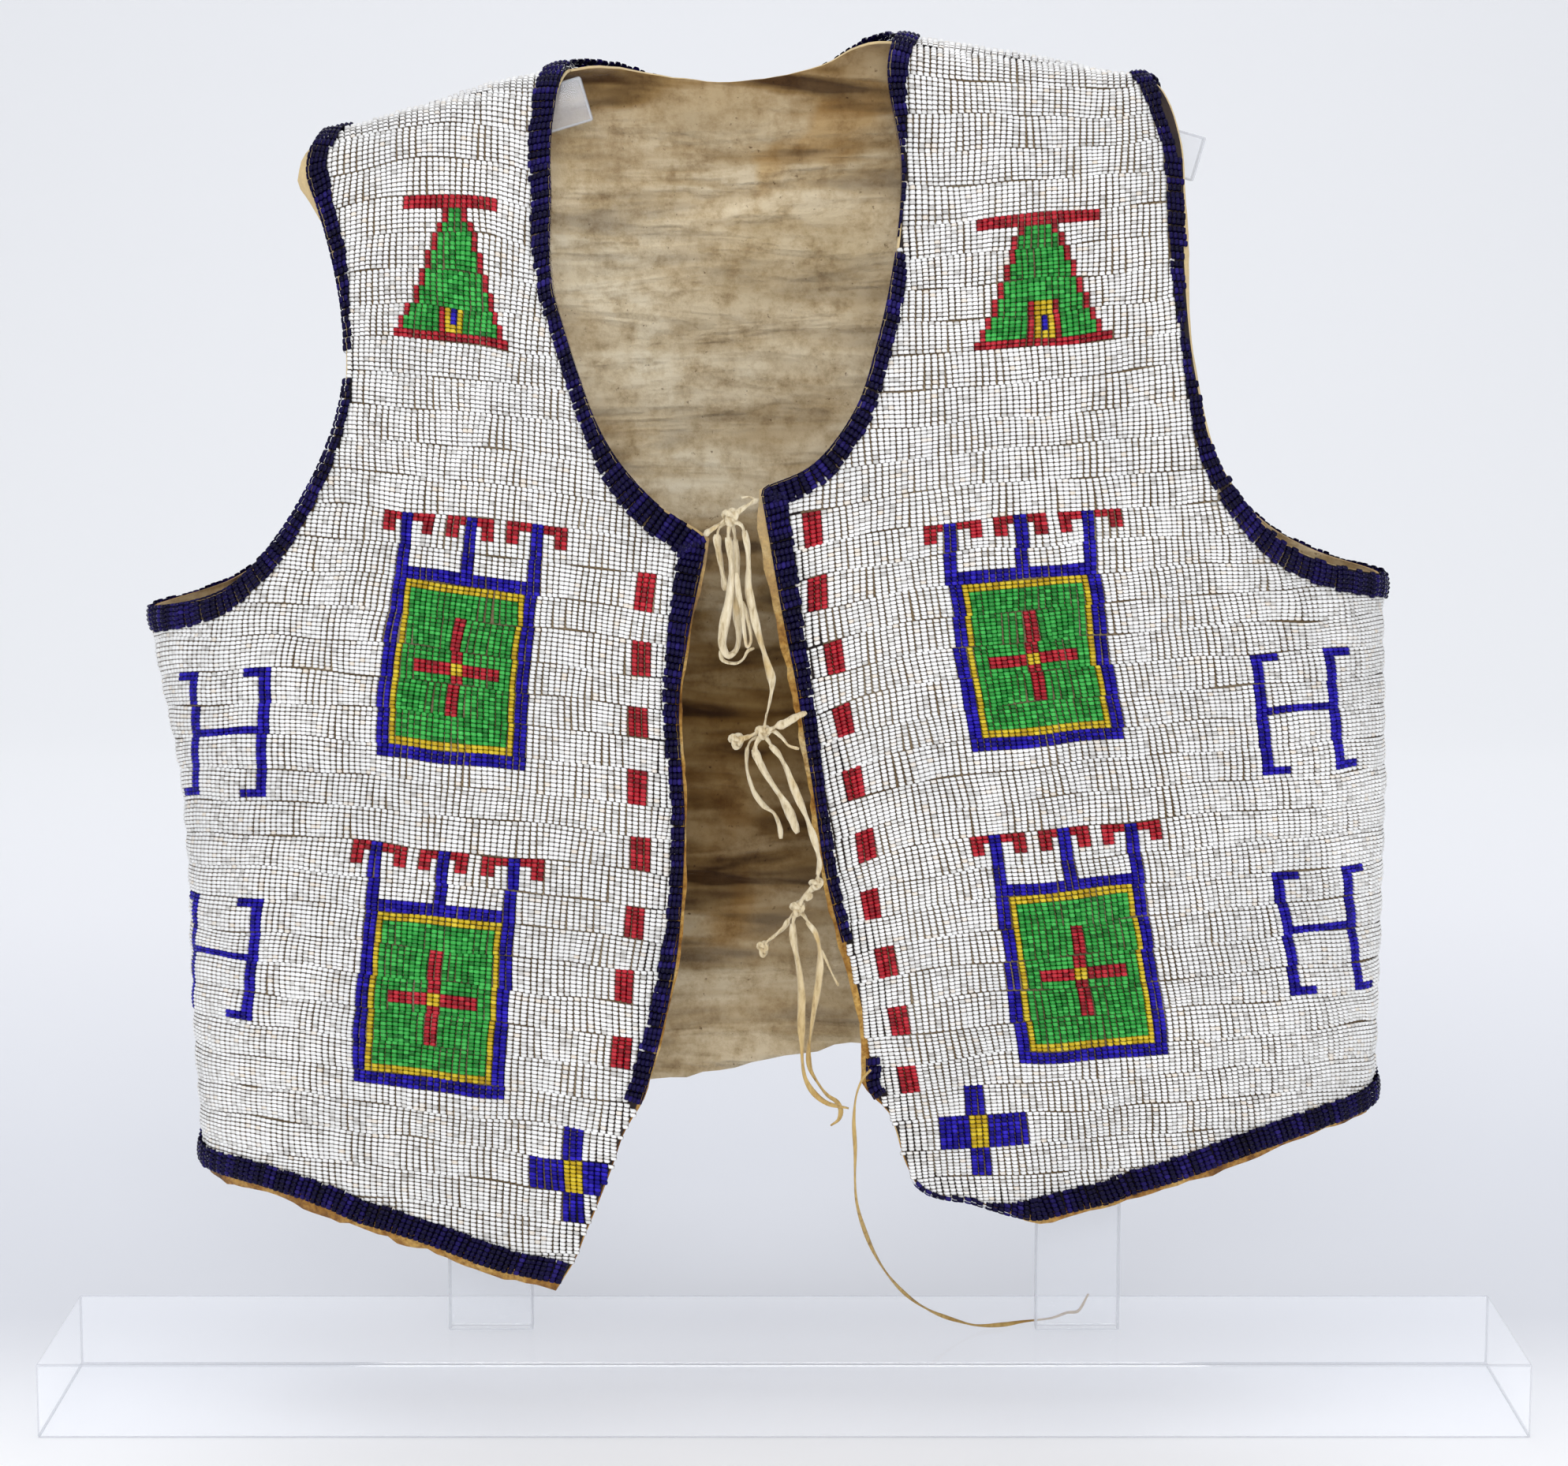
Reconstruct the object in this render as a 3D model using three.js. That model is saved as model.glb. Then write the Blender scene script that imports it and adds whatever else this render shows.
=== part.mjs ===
// A beaded hide vest, open at the front, resting on a clear acrylic display stand.
//
// Millimetres, +Z up. The origin is the middle of the underside of the stand's base. +X is the
// wearer's left, so it lies to the right when the vest is seen from the front, and -Y is the front.
//
// The three hide panels share one form: a tube that is an upright oval at the body and closes to a
// rolled fold along the shoulders. A place on it is a chart point (arc, drop): arc is the distance
// round the body from the middle, and drop is the distance down from the shoulder fold. Panels,
// beadwork lanes and edgings are all laid out on that chart, so what lies on a panel follows it.

import * as THREE from 'three';

// ---------------------------------------------------------------- driving sizes

const PIECE_GAP = 0.3;
const SEAM_HALF_GAP = 0.2;

const WALL = 2.4; // hide with the lanes of beads sewn on it
const LANE_RELIEF = 0.6; // from the valley between two lanes to the crest of one
const EDGING = { width: 8.8, thickness: 1.6 };
const HALF_EDGING = EDGING.width / 2;
const CORNER_STEP = 14; // first row spacing beside a corner, wider than the edging

const SHOULDER_ROLL = 11; // radius of the fold over the shoulders
const SHOULDER_FALL = 150; // height over which the body opens from the fold to its full depth

const BASE = { width: 500, depth: 82, thickness: 25.4 };
const POST = { x: 100.7, width: 29, thickness: 6.35 };
const SHOULDER_BAR_HEIGHT = 15;

// The body's outer shape by height: how far it reaches to each side and to the front and back.
const GIRTH = [
  { z: 40, left: -196, right: 202, depth: 58 },
  { z: 91, left: -199, right: 201.6, depth: 58 },
  { z: 132, left: -201, right: 202, depth: 57.5 },
  { z: 211, left: -203, right: 203, depth: 57 },
  { z: 281, left: -213, right: 201, depth: 56 },
  { z: 480, left: -213, right: 201, depth: 56 },
];

// The shoulder fold's height, carried on past the shoulders in the same slope.
const RIDGE = [
  { x: -240, z: 408 },
  { x: -150.5, z: 433 },
  { x: -71, z: 455 },
  { x: -16, z: 460.5 },
  { x: 38, z: 464 },
  { x: 121, z: 451 },
  { x: 240, z: 432 },
];

// Outlines as seen from the front, each from the top down or from left to right.
const RIGHT_FRONT = {
  shoulder: [{ x: -150.5, z: 433 }, { x: -71, z: 455 }],
  armhole: [
    { x: -150.5, z: 433 }, { x: -155, z: 425 }, { x: -155.5, z: 419 }, { x: -152.5, z: 410 },
    { x: -149, z: 399 }, { x: -144.5, z: 380 }, { x: -142.8, z: 366 }, { x: -143, z: 349 },
    { x: -148, z: 331 }, { x: -159, z: 310 }, { x: -174, z: 291 }, { x: -186, z: 282.5 },
    { x: -213, z: 276 },
  ],
  sideSeam: [{ x: -213, z: 276 }, { x: -199.5, z: 87.6 }],
  neck: [
    { x: -71, z: 455 }, { x: -75.4, z: 442 }, { x: -77, z: 426 }, { x: -76.6, z: 411 },
    { x: -76.8, z: 395 }, { x: -75.6, z: 382 }, { x: -71.4, z: 368 }, { x: -66.6, z: 354 },
    { x: -60.6, z: 339 }, { x: -53.6, z: 327.5 }, { x: -41.5, z: 314.6 }, { x: -31.5, z: 307.6 },
    { x: -25, z: 303 },
  ],
  opening: [
    { x: -25, z: 303 }, { x: -32, z: 270 }, { x: -34.7, z: 247.6 }, { x: -33, z: 206 },
    { x: -37, z: 159 }, { x: -47.5, z: 118 }, { x: -53, z: 107 }, { x: -56, z: 98 },
    { x: -59.2, z: 89.5 }, { x: -63, z: 80 }, { x: -66.6, z: 71.5 }, { x: -69.5, z: 64 },
    { x: -74.3, z: 56 },
  ],
  hem: [
    { x: -199.5, z: 87.6 }, { x: -180, z: 84.7 }, { x: -165, z: 82.2 }, { x: -151, z: 78.6 },
    { x: -142, z: 75.2 }, { x: -130, z: 72.5 }, { x: -117, z: 69 }, { x: -109, z: 66.3 },
    { x: -101, z: 63.4 }, { x: -90, z: 60.1 }, { x: -74.3, z: 56 },
  ],
};

const LEFT_FRONT = {
  shoulder: [{ x: 38, z: 464 }, { x: 121, z: 451 }],
  neck: [
    { x: 38, z: 464 }, { x: 34.5, z: 453 }, { x: 39, z: 424 }, { x: 38, z: 403 },
    { x: 35.8, z: 388 }, { x: 31, z: 366.5 }, { x: 23.4, z: 344 }, { x: 9.6, z: 326.5 },
    { x: -6.6, z: 319 },
  ],
  opening: [
    { x: -6.6, z: 319 }, { x: -2.3, z: 294 }, { x: 4, z: 260.5 }, { x: 9, z: 230 },
    { x: 14, z: 196 }, { x: 22, z: 163 }, { x: 26.6, z: 142 }, { x: 27.6, z: 131 },
    { x: 27.8, z: 124.5 }, { x: 31, z: 119 }, { x: 34.3, z: 115 }, { x: 37.1, z: 108 },
    { x: 39.6, z: 99 }, { x: 43.5, z: 90.5 },
  ],
  armhole: [
    { x: 121, z: 451 }, { x: 130, z: 429 }, { x: 131, z: 412 }, { x: 131, z: 389 },
    { x: 134, z: 356 }, { x: 142, z: 326 }, { x: 161, z: 302 }, { x: 178, z: 293 }, { x: 201, z: 287 },
  ],
  sideSeam: [{ x: 201, z: 287 }, { x: 202.5, z: 109.2 }],
  hem: [
    { x: 43.5, z: 90.5 }, { x: 47, z: 87.5 }, { x: 54, z: 85.3 }, { x: 60, z: 84.8 },
    { x: 67, z: 82.8 }, { x: 75, z: 80.5 }, { x: 83, z: 78.9 }, { x: 91, z: 80.6 },
    { x: 99, z: 82.2 }, { x: 107, z: 83.8 }, { x: 115, z: 86.6 }, { x: 123, z: 88.4 },
    { x: 133, z: 91 }, { x: 148, z: 95.5 }, { x: 160, z: 98.8 }, { x: 181, z: 103.9 },
    { x: 202.5, z: 109.2 },
  ],
};

const BACK = {
  top: [
    { x: -150.5, z: 433 }, { x: -110, z: 444.2 }, { x: -71, z: 455 }, { x: -56, z: 455 },
    { x: -43, z: 451.5 }, { x: -14.2, z: 448.4 }, { x: 12, z: 454 }, { x: 38, z: 464 },
    { x: 80, z: 457.4 }, { x: 121, z: 451 },
  ],
  rightArmhole: [
    { x: -150.5, z: 433 }, { x: -151, z: 420 }, { x: -148, z: 399 }, { x: -145, z: 366 },
    { x: -146, z: 349 }, { x: -151, z: 331 }, { x: -162, z: 310 }, { x: -177, z: 291 },
    { x: -188, z: 283 }, { x: -213, z: 276 },
  ],
  leftArmhole: [
    { x: 121, z: 451 }, { x: 129.5, z: 433 }, { x: 131.5, z: 412 }, { x: 132.5, z: 389 },
    { x: 136.5, z: 356 }, { x: 145, z: 326 }, { x: 163, z: 303 }, { x: 180, z: 293 },
    { x: 201, z: 287 },
  ],
  hem: [
    { x: -199.5, z: 87.6 }, { x: -150, z: 90 }, { x: -100, z: 97 }, { x: -43, z: 105.5 },
    { x: -7, z: 111.6 }, { x: 32, z: 118 }, { x: 90, z: 117 }, { x: 150, z: 113 },
    { x: 202.5, z: 109.2 },
  ],
};

// Soft folds of the stiff beaded hide: a ridge or, with a negative height, a trough. Each lies
// round (x, z), leans by so many degrees from upright, and fades out over its length and width.
const FOLDS = [
  { side: 'front', x: 148, z: 294, lean: 38, length: 46, width: 6, height: 2.6 },
  { side: 'front', x: 158, z: 282, lean: 40, length: 54, width: 5, height: -2.2 },
  { side: 'front', x: 166, z: 280, lean: 44, length: 44, width: 5, height: 2.4 },
  { side: 'front', x: 186, z: 272, lean: 30, length: 40, width: 6, height: 1.8 },
  { side: 'front', x: -172, z: 280, lean: -36, length: 44, width: 6, height: 2.2 },
  { side: 'front', x: -186, z: 262, lean: -30, length: 40, width: 6, height: 1.6 },
  { side: 'front', x: 46, z: 88, lean: 40, length: 90, width: 20, height: -5.5 },
  { side: 'front', x: -72, z: 54, lean: -35, length: 90, width: 18, height: -5.5 },
  { side: 'front', x: -28, z: 300, lean: -10, length: 60, width: 12, height: -2.5 },
  { side: 'front', x: -120, z: 180, lean: -4, length: 190, width: 34, height: 2.2 },
  { side: 'front', x: 104, z: 170, lean: 5, length: 190, width: 34, height: 2.2 },
  { side: 'back', x: 160, z: 280, lean: 38, length: 50, width: 6, height: 2.2 },
  { side: 'back', x: 172, z: 272, lean: 40, length: 44, width: 5, height: -1.8 },
  { side: 'back', x: -176, z: 270, lean: -36, length: 46, width: 6, height: 2.2 },
  { side: 'back', x: -8, z: 260, lean: 2, length: 230, width: 30, height: -2.6 },
  { side: 'back', x: 74, z: 200, lean: 4, length: 200, width: 32, height: 2.0 },
  { side: 'back', x: -88, z: 205, lean: -5, length: 210, width: 30, height: 2.2 },
];

// ---------------------------------------------------------------- materials

const COLOURS = {
  beads: { color: 0xdcdfe2, roughness: 0.45 },
  edging: { color: 0x261c66, roughness: 0.25 },
  thong: { color: 0xd8c7a2, roughness: 0.85 },
  acrylic: { color: 0xe9eef2, roughness: 0.05 },
};

const MATERIALS = Object.fromEntries(
  Object.entries(COLOURS).map(([name, look]) => [
    name,
    new THREE.MeshStandardMaterial({ ...look, metalness: 0, name }),
  ]),
);

// ---------------------------------------------------------------- the vest's form

// Reads a table's column as a smooth curve through its rows, held level beyond both ends.
function read(table, by, column, at) {
  const last = table.length - 1;
  if (at <= table[0][by]) return table[0][column];
  if (at >= table[last][by]) return table[last][column];
  let k = 0;
  while (at > table[k + 1][by]) k += 1;
  const slopeAt = (i) => {
    const low = table[Math.max(i - 1, 0)];
    const high = table[Math.min(i + 1, last)];
    return (high[column] - low[column]) / (high[by] - low[by]);
  };
  const step = table[k + 1][by] - table[k][by];
  const t = (at - table[k][by]) / step;
  const rise = table[k + 1][column] - table[k][column];
  const bendIn = slopeAt(k) * step - rise;
  const bendOut = rise - slopeAt(k + 1) * step;
  return table[k][column] + t * rise + t * (1 - t) * ((1 - t) * bendIn + t * bendOut);
}

function bodyAt(z) {
  const left = read(GIRTH, 'z', 'left', z);
  const right = read(GIRTH, 'z', 'right', z);
  return { middle: (left + right) / 2, half: (right - left) / 2, depth: read(GIRTH, 'z', 'depth', z) };
}

const CHEST = bodyAt(GIRTH[GIRTH.length - 1].z);

const ridgeAt = (turn) => read(RIDGE, 'x', 'z', CHEST.middle + CHEST.half * Math.sin(turn));

// The arc round the oval from its middle to each turn, in equal steps to a quarter turn.
const ARC_STEPS = 360;
const ARCS = [0];
for (let k = 0; k < ARC_STEPS; k += 1) {
  const turn = ((k + 0.5) / ARC_STEPS) * (Math.PI / 2);
  const pace = Math.hypot(CHEST.half * Math.cos(turn), CHEST.depth * Math.sin(turn));
  ARCS.push(ARCS[k] + (pace * Math.PI) / 2 / ARC_STEPS);
}
const QUARTER_ARC = ARCS[ARC_STEPS];

function arcOf(turn) {
  const place = (Math.abs(turn) / (Math.PI / 2)) * ARC_STEPS;
  const k = Math.min(Math.floor(place), ARC_STEPS - 1);
  return Math.sign(turn) * THREE.MathUtils.lerp(ARCS[k], ARCS[k + 1], place - k);
}

function turnOf(arc) {
  const length = Math.min(Math.abs(arc), QUARTER_ARC);
  let k = 0;
  while (k < ARC_STEPS - 1 && ARCS[k + 1] < length) k += 1;
  const part = (length - ARCS[k]) / (ARCS[k + 1] - ARCS[k]);
  return (Math.sign(arc) * (k + part) * Math.PI) / 2 / ARC_STEPS;
}

const ROLL_DROP = (SHOULDER_ROLL * Math.PI) / 2;

// The chart point that is seen at (x, z) from the front or the back.
function chart({ x, z }) {
  const { middle, half } = bodyAt(z);
  const turn = Math.asin(THREE.MathUtils.clamp((x - middle) / half, -1, 1));
  const fall = Math.max(ridgeAt(turn) - z, 0);
  const drop = fall < SHOULDER_ROLL
    ? SHOULDER_ROLL * Math.acos(1 - fall / SHOULDER_ROLL)
    : ROLL_DROP + fall - SHOULDER_ROLL;
  return new THREE.Vector2(arcOf(turn), drop);
}

// The smooth form at a chart point, before folds.
function form(arc, drop, side) {
  const turn = turnOf(arc);
  const rolled = Math.min(drop / SHOULDER_ROLL, Math.PI / 2);
  const fall = SHOULDER_ROLL * (1 - Math.cos(rolled)) + Math.max(drop - ROLL_DROP, 0);
  const z = ridgeAt(turn) - fall;
  const { middle, half, depth } = bodyAt(z);
  const full = depth * Math.cos(turn);
  const roll = (SHOULDER_ROLL * full) / Math.hypot(SHOULDER_ROLL, full);
  const opened = THREE.MathUtils.smoothstep(fall, 0, SHOULDER_FALL);
  const out = roll * Math.sin(rolled) + (full - roll) * opened + SEAM_HALF_GAP;
  const away = side === 'front' ? -1 : 1;
  return new THREE.Vector3(middle + half * Math.sin(turn), away * out, z);
}

const FOLDS_ON_CHART = FOLDS.map((fold) => ({ ...fold, centre: chart(fold) }));

function foldHeight(arc, drop, side) {
  let sum = 0;
  for (const fold of FOLDS_ON_CHART) {
    if (fold.side !== side) continue;
    const lean = THREE.MathUtils.degToRad(fold.lean);
    const across = arc - fold.centre.x;
    const down = drop - fold.centre.y;
    const alongFold = Math.abs(across * Math.sin(lean) + down * Math.cos(lean)) / (fold.length / 2);
    const offFold = (across * Math.cos(lean) - down * Math.sin(lean)) / fold.width;
    if (alongFold >= 1) continue;
    sum += fold.height * Math.cos((alongFold * Math.PI) / 2) ** 2 * Math.exp(-offFold * offFold);
  }
  return sum;
}

const PROBE = 0.05;

// A place on the vest's outer surface: where it is and which way is out.
function surface(point, side) {
  const inArc = point.x > 0 ? -PROBE : PROBE;
  const here = form(point.x, point.y, side);
  const beside = form(point.x + inArc, point.y, side).sub(here).multiplyScalar(1 / inArc);
  const below = form(point.x, point.y + PROBE, side).sub(here).multiplyScalar(1 / PROBE);
  const out = new THREE.Vector3().crossVectors(beside, below).normalize();
  if (side === 'front') out.negate();
  const onSeam = point.y < PROBE || Math.abs(point.x) > QUARTER_ARC - PROBE;
  if (onSeam) out.setY(0).normalize();
  const lift = onSeam ? 0 : foldHeight(point.x, point.y, side);
  return { at: here.addScaledVector(out, lift), out };
}

// ---------------------------------------------------------------- panels

function smoothLine(rows) {
  const points = rows.map((row) => {
    const { x, y } = chart(row);
    return new THREE.Vector3(x, y, 0);
  });
  return new THREE.CatmullRomCurve3(points, false, 'centripetal');
}

// Places along a line: so many spaces, with the first and last ones given where they matter.
function stations(line, spaces, first = [], last = []) {
  const length = line.getLength();
  const sum = (values) => values.reduce((total, value) => total + value, 0);
  const even = (length - sum(first) - sum(last)) / (spaces - first.length - last.length);
  const steps = [...first, ...Array(spaces - first.length - last.length).fill(even), ...last];
  let travelled = 0;
  return [0, ...steps].map((step) => {
    travelled += step;
    const part = THREE.MathUtils.clamp(travelled / length, 0, 1);
    const at = line.getPointAt(part);
    const along = line.getTangentAt(part);
    return { at: new THREE.Vector2(at.x, at.y), along: new THREE.Vector2(along.x, along.y).normalize() };
  });
}

// Moves a station sideways off its line; a positive inset goes to larger arcs on a line that
// runs down, and up the chart on a line that runs to larger arcs.
function inset({ at, along }, amount) {
  return new THREE.Vector2(at.x + along.y * amount, at.y - along.x * amount);
}

// The corner point inside two lines that meet, the same distance in from both.
function mitre(before, after, amount) {
  const first = inset({ at: new THREE.Vector2(), along: before.along }, amount);
  const second = inset({ at: new THREE.Vector2(), along: after.along }, amount);
  const sum = first.clone().add(second);
  const scale = (2 * amount * amount) / sum.lengthSq();
  return after.at.clone().add(sum.multiplyScalar(scale));
}

// One long edge of a panel, in an upper and a lower line that meet at a corner.
function longEdge(upper, lower, rows, sign) {
  const top = stations(smoothLine(upper), rows.upper, [HALF_EDGING, HALF_EDGING], [CORNER_STEP]);
  const bottom = stations(smoothLine(lower), rows.lower, [CORNER_STEP], [EDGING.width]);
  const corner = mitre(top[rows.upper], bottom[0], sign * EDGING.width);
  const edge = [...top.slice(0, -1), ...bottom];
  return {
    edge: edge.map((station) => station.at),
    inside: edge.map((station, k) => (k === rows.upper ? corner : inset(station, sign * EDGING.width))),
  };
}

const RELAX_PASSES = 40;

// A net of chart points over a panel: rows run from its left edge to its right edge, and the
// outermost cells all round are as wide as the edging.
function net({ top, bottom, left, right, rows, columns }) {
  const last = rows.upper + rows.lower;
  const margins = [EDGING.width];
  const topLine = stations(smoothLine(top), columns, margins, margins);
  const bottomLine = stations(smoothLine(bottom), columns, margins, margins);
  const leftEdge = longEdge(left.upper, left.lower, rows, 1);
  const rightEdge = longEdge(right.upper, right.lower, rows, -1);
  const points = Array.from({ length: last + 1 }, () => Array(columns + 1));
  for (let i = 0; i <= columns; i += 1) {
    points[0][i] = topLine[i].at;
    points[1][i] = inset(topLine[i], -HALF_EDGING);
    points[2][i] = inset(topLine[i], -EDGING.width);
    points[last - 1][i] = inset(bottomLine[i], EDGING.width);
    points[last][i] = bottomLine[i].at;
  }
  for (let k = 0; k <= last; k += 1) {
    points[k][0] = leftEdge.edge[k];
    points[k][columns] = rightEdge.edge[k];
    if (k > 2 && k < last - 1) {
      points[k][1] = leftEdge.inside[k];
      points[k][columns - 1] = rightEdge.inside[k];
    }
  }
  fillNet(points, 2, last - 1, 1, columns - 1);
  relaxNet(points, 2, last - 1, 1, columns - 1);
  return points;
}

// Fills the inside of a net between four known sides.
function fillNet(points, row0, row1, column0, column1) {
  const blend = (terms) => terms.reduce(
    (sum, [weight, point]) => sum.addScaledVector(point, weight),
    new THREE.Vector2(),
  );
  for (let k = row0 + 1; k < row1; k += 1) {
    const v = (k - row0) / (row1 - row0);
    for (let i = column0 + 1; i < column1; i += 1) {
      const u = (i - column0) / (column1 - column0);
      points[k][i] = blend([
        [1 - u, points[k][column0]], [u, points[k][column1]],
        [1 - v, points[row0][i]], [v, points[row1][i]],
        [-(1 - u) * (1 - v), points[row0][column0]], [-u * (1 - v), points[row0][column1]],
        [-(1 - u) * v, points[row1][column0]], [-u * v, points[row1][column1]],
      ]);
    }
  }
}

// Evens out the inside of a net, so that its rows are about as far apart everywhere.
function relaxNet(points, row0, row1, column0, column1) {
  for (let pass = 0; pass < RELAX_PASSES; pass += 1) {
    for (let k = row0 + 1; k < row1; k += 1) {
      for (let i = column0 + 1; i < column1; i += 1) {
        points[k][i] = points[k - 1][i].clone().add(points[k + 1][i])
          .add(points[k][i - 1]).add(points[k][i + 1]).multiplyScalar(1 / 4);
      }
    }
  }
}

// Collects triangles for a closed body with shared corners.
class Shell {
  constructor() {
    this.places = [];
    this.corners = [];
  }

  corner(place) {
    this.places.push(place.x, place.y, place.z);
    return this.places.length / 3 - 1;
  }

  // A fan of triangles from the first corner over the rest, or the same fan facing the other way.
  face(turned, first, ...rest) {
    if (turned) rest.reverse();
    for (let k = 0; k < rest.length - 1; k += 1) {
      this.corners.push(first, rest[k], rest[k + 1]);
    }
  }

  geometry() {
    const geometry = new THREE.BufferGeometry();
    geometry.setAttribute('position', new THREE.Float32BufferAttribute(this.places, 3));
    geometry.setIndex(this.corners);
    geometry.computeVertexNormals();
    return geometry;
  }
}

// A panel's wall. The outside has a row for each lane's crest and each valley; the inside is
// plain and has every other row.
function panelGeometry(skin, side) {
  const shell = new Shell();
  const last = skin.length - 1;
  const columns = skin[0].length - 1;
  const face = (...corners) => shell.face(side === 'back', ...corners);
  const outer = skin.map((row, k) => row.map(({ at, out }, i) => {
    const inField = k > 2 && k < last - 1 && i > 1 && i < columns - 1;
    const relief = inField ? (k % 2 ? 0.5 : -0.5) * LANE_RELIEF : 0;
    return shell.corner(at.clone().addScaledVector(out, relief));
  }));
  const inner = [];
  for (let k = 0; k <= last; k += 2) {
    inner.push(skin[k].map(({ at, out }) => shell.corner(at.clone().addScaledVector(out, -WALL))));
  }
  for (let i = 0; i < columns; i += 1) {
    for (let k = 0; k < last; k += 1) {
      face(outer[k][i], outer[k + 1][i], outer[k + 1][i + 1], outer[k][i + 1]);
    }
    for (let k = 0; k < inner.length - 1; k += 1) {
      face(inner[k][i], inner[k][i + 1], inner[k + 1][i + 1], inner[k + 1][i]);
    }
    const end = inner.length - 1;
    face(outer[0][i], outer[0][i + 1], inner[0][i + 1], inner[0][i]);
    face(outer[last][i], inner[end][i], inner[end][i + 1], outer[last][i + 1]);
  }
  for (let k = 0; k < inner.length - 1; k += 1) {
    const a = 2 * k;
    face(outer[a + 1][0], outer[a][0], inner[k][0], inner[k + 1][0], outer[a + 2][0]);
    face(
      outer[a + 1][columns], outer[a + 2][columns], inner[k + 1][columns],
      inner[k][columns], outer[a][columns],
    );
  }
  return shell.geometry();
}

// ---------------------------------------------------------------- edgings

// The place on a panel that is one piece gap from a first place towards a second.
function pulledBack(place, towards) {
  const part = PIECE_GAP / place.at.distanceTo(towards.at);
  return {
    at: place.at.clone().lerp(towards.at, part),
    out: place.out.clone().lerp(towards.out, part).normalize(),
  };
}

// A cross line of an edging: places on the panel along a net line, a little inside its ends.
function crossLine(...places) {
  const last = places.length - 1;
  return [
    pulledBack(places[0], places[1]),
    ...places.slice(1, last),
    pulledBack(places[last], places[last - 1]),
  ];
}

const shortened = (line, next) => line.map((place, k) => pulledBack(place, next[k]));

// An edging: a band over a run of cross lines, moved out from the panel's own points.
function edgingGeometry(crossLines, turned) {
  const shell = new Shell();
  const face = (...corners) => shell.face(turned, ...corners);
  const last = crossLines.length - 1;
  const lines = [
    shortened(crossLines[0], crossLines[1]),
    ...crossLines.slice(1, last),
    shortened(crossLines[last], crossLines[last - 1]),
  ];
  const raised = (height) => ({ at, out }) => shell.corner(at.clone().addScaledVector(out, height));
  const rings = lines.map((line) => [
    ...line.map(raised(PIECE_GAP)),
    ...[...line].reverse().map(raised(PIECE_GAP + EDGING.thickness)),
  ]);
  for (let k = 0; k < last; k += 1) {
    for (let side = 0; side < rings[k].length; side += 1) {
      const next = (side + 1) % rings[k].length;
      face(rings[k][side], rings[k][next], rings[k + 1][next], rings[k + 1][side]);
    }
  }
  face(...[...rings[0]].reverse());
  face(...rings[last]);
  return shell.geometry();
}

// ---------------------------------------------------------------- assembly helpers

const vest = new THREE.Group();

function add(name, geometry, material) {
  const mesh = new THREE.Mesh(geometry, MATERIALS[material]);
  mesh.name = name;
  vest.add(mesh);
  return mesh;
}

const skinOf = (points, side) => points.map((row) => row.map((point) => surface(point, side)));

// The run of rows whose height at the net's edge lies between two heights.
function rowsBetween(skin, column, high, low) {
  const rows = skin.map((row, k) => k).filter((k) => {
    const { z } = skin[k][column].at;
    return z <= high + 0.01 && z >= low - 0.01;
  });
  return [rows[0], rows[rows.length - 1]];
}

const TOP_OF_VEST = 500;

// Edging along one long edge of a panel, between two heights and above the hem's edging.
function addSideEdging(name, skin, side, atLeft, high = TOP_OF_VEST, low = 0) {
  const columns = skin[0].length - 1;
  const start = atLeft ? 0 : columns - 1;
  const [first, final] = rowsBetween(skin.slice(0, -1), atLeft ? 0 : columns, high, low);
  const lines = skin.slice(first, final + 1).map((row) => crossLine(row[start], row[start + 1]));
  add(name, edgingGeometry(lines, side === 'back'), 'edging');
}

// Edging along the foot of a panel.
function addHemEdging(name, skin, side) {
  const last = skin.length - 1;
  const lines = skin[last].map((foot, i) => crossLine(skin[last - 1][i], foot));
  add(name, edgingGeometry(lines, side === 'front'), 'edging');
}

// Edging along the top of a panel, between two places across it.
function addTopEdging(name, skin, side, left, right) {
  const columns = skin[0].map((place, i) => i)
    .filter((i) => skin[0][i].at.x > left && skin[0][i].at.x < right);
  const lines = columns.map((i) => crossLine(skin[0][i], skin[1][i], skin[2][i]));
  add(name, edgingGeometry(lines, side === 'front'), 'edging');
}

// ---------------------------------------------------------------- the vest

const FRONT_ROWS = { upper: 26, lower: 34 };
const BACK_ROWS = { upper: 26, lower: 28 };
const FRONT_COLUMNS = 12;
const BACK_COLUMNS = 22;

function addRightFront() {
  const skin = skinOf(net({
    top: RIGHT_FRONT.shoulder,
    bottom: RIGHT_FRONT.hem,
    left: { upper: RIGHT_FRONT.armhole, lower: RIGHT_FRONT.sideSeam },
    right: { upper: RIGHT_FRONT.neck, lower: RIGHT_FRONT.opening },
    rows: FRONT_ROWS,
    columns: FRONT_COLUMNS,
  }), 'front');
  add('front_right', panelGeometry(skin, 'front'), 'beads');
  addSideEdging('edging_armhole_right_upper', skin, 'front', true, TOP_OF_VEST, 361);
  addSideEdging('edging_armhole_right_lower', skin, 'front', true, 354, 276);
  addSideEdging('edging_opening_right', skin, 'front', false, TOP_OF_VEST, 118);
  addHemEdging('edging_hem_right', skin, 'front');
}

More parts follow.
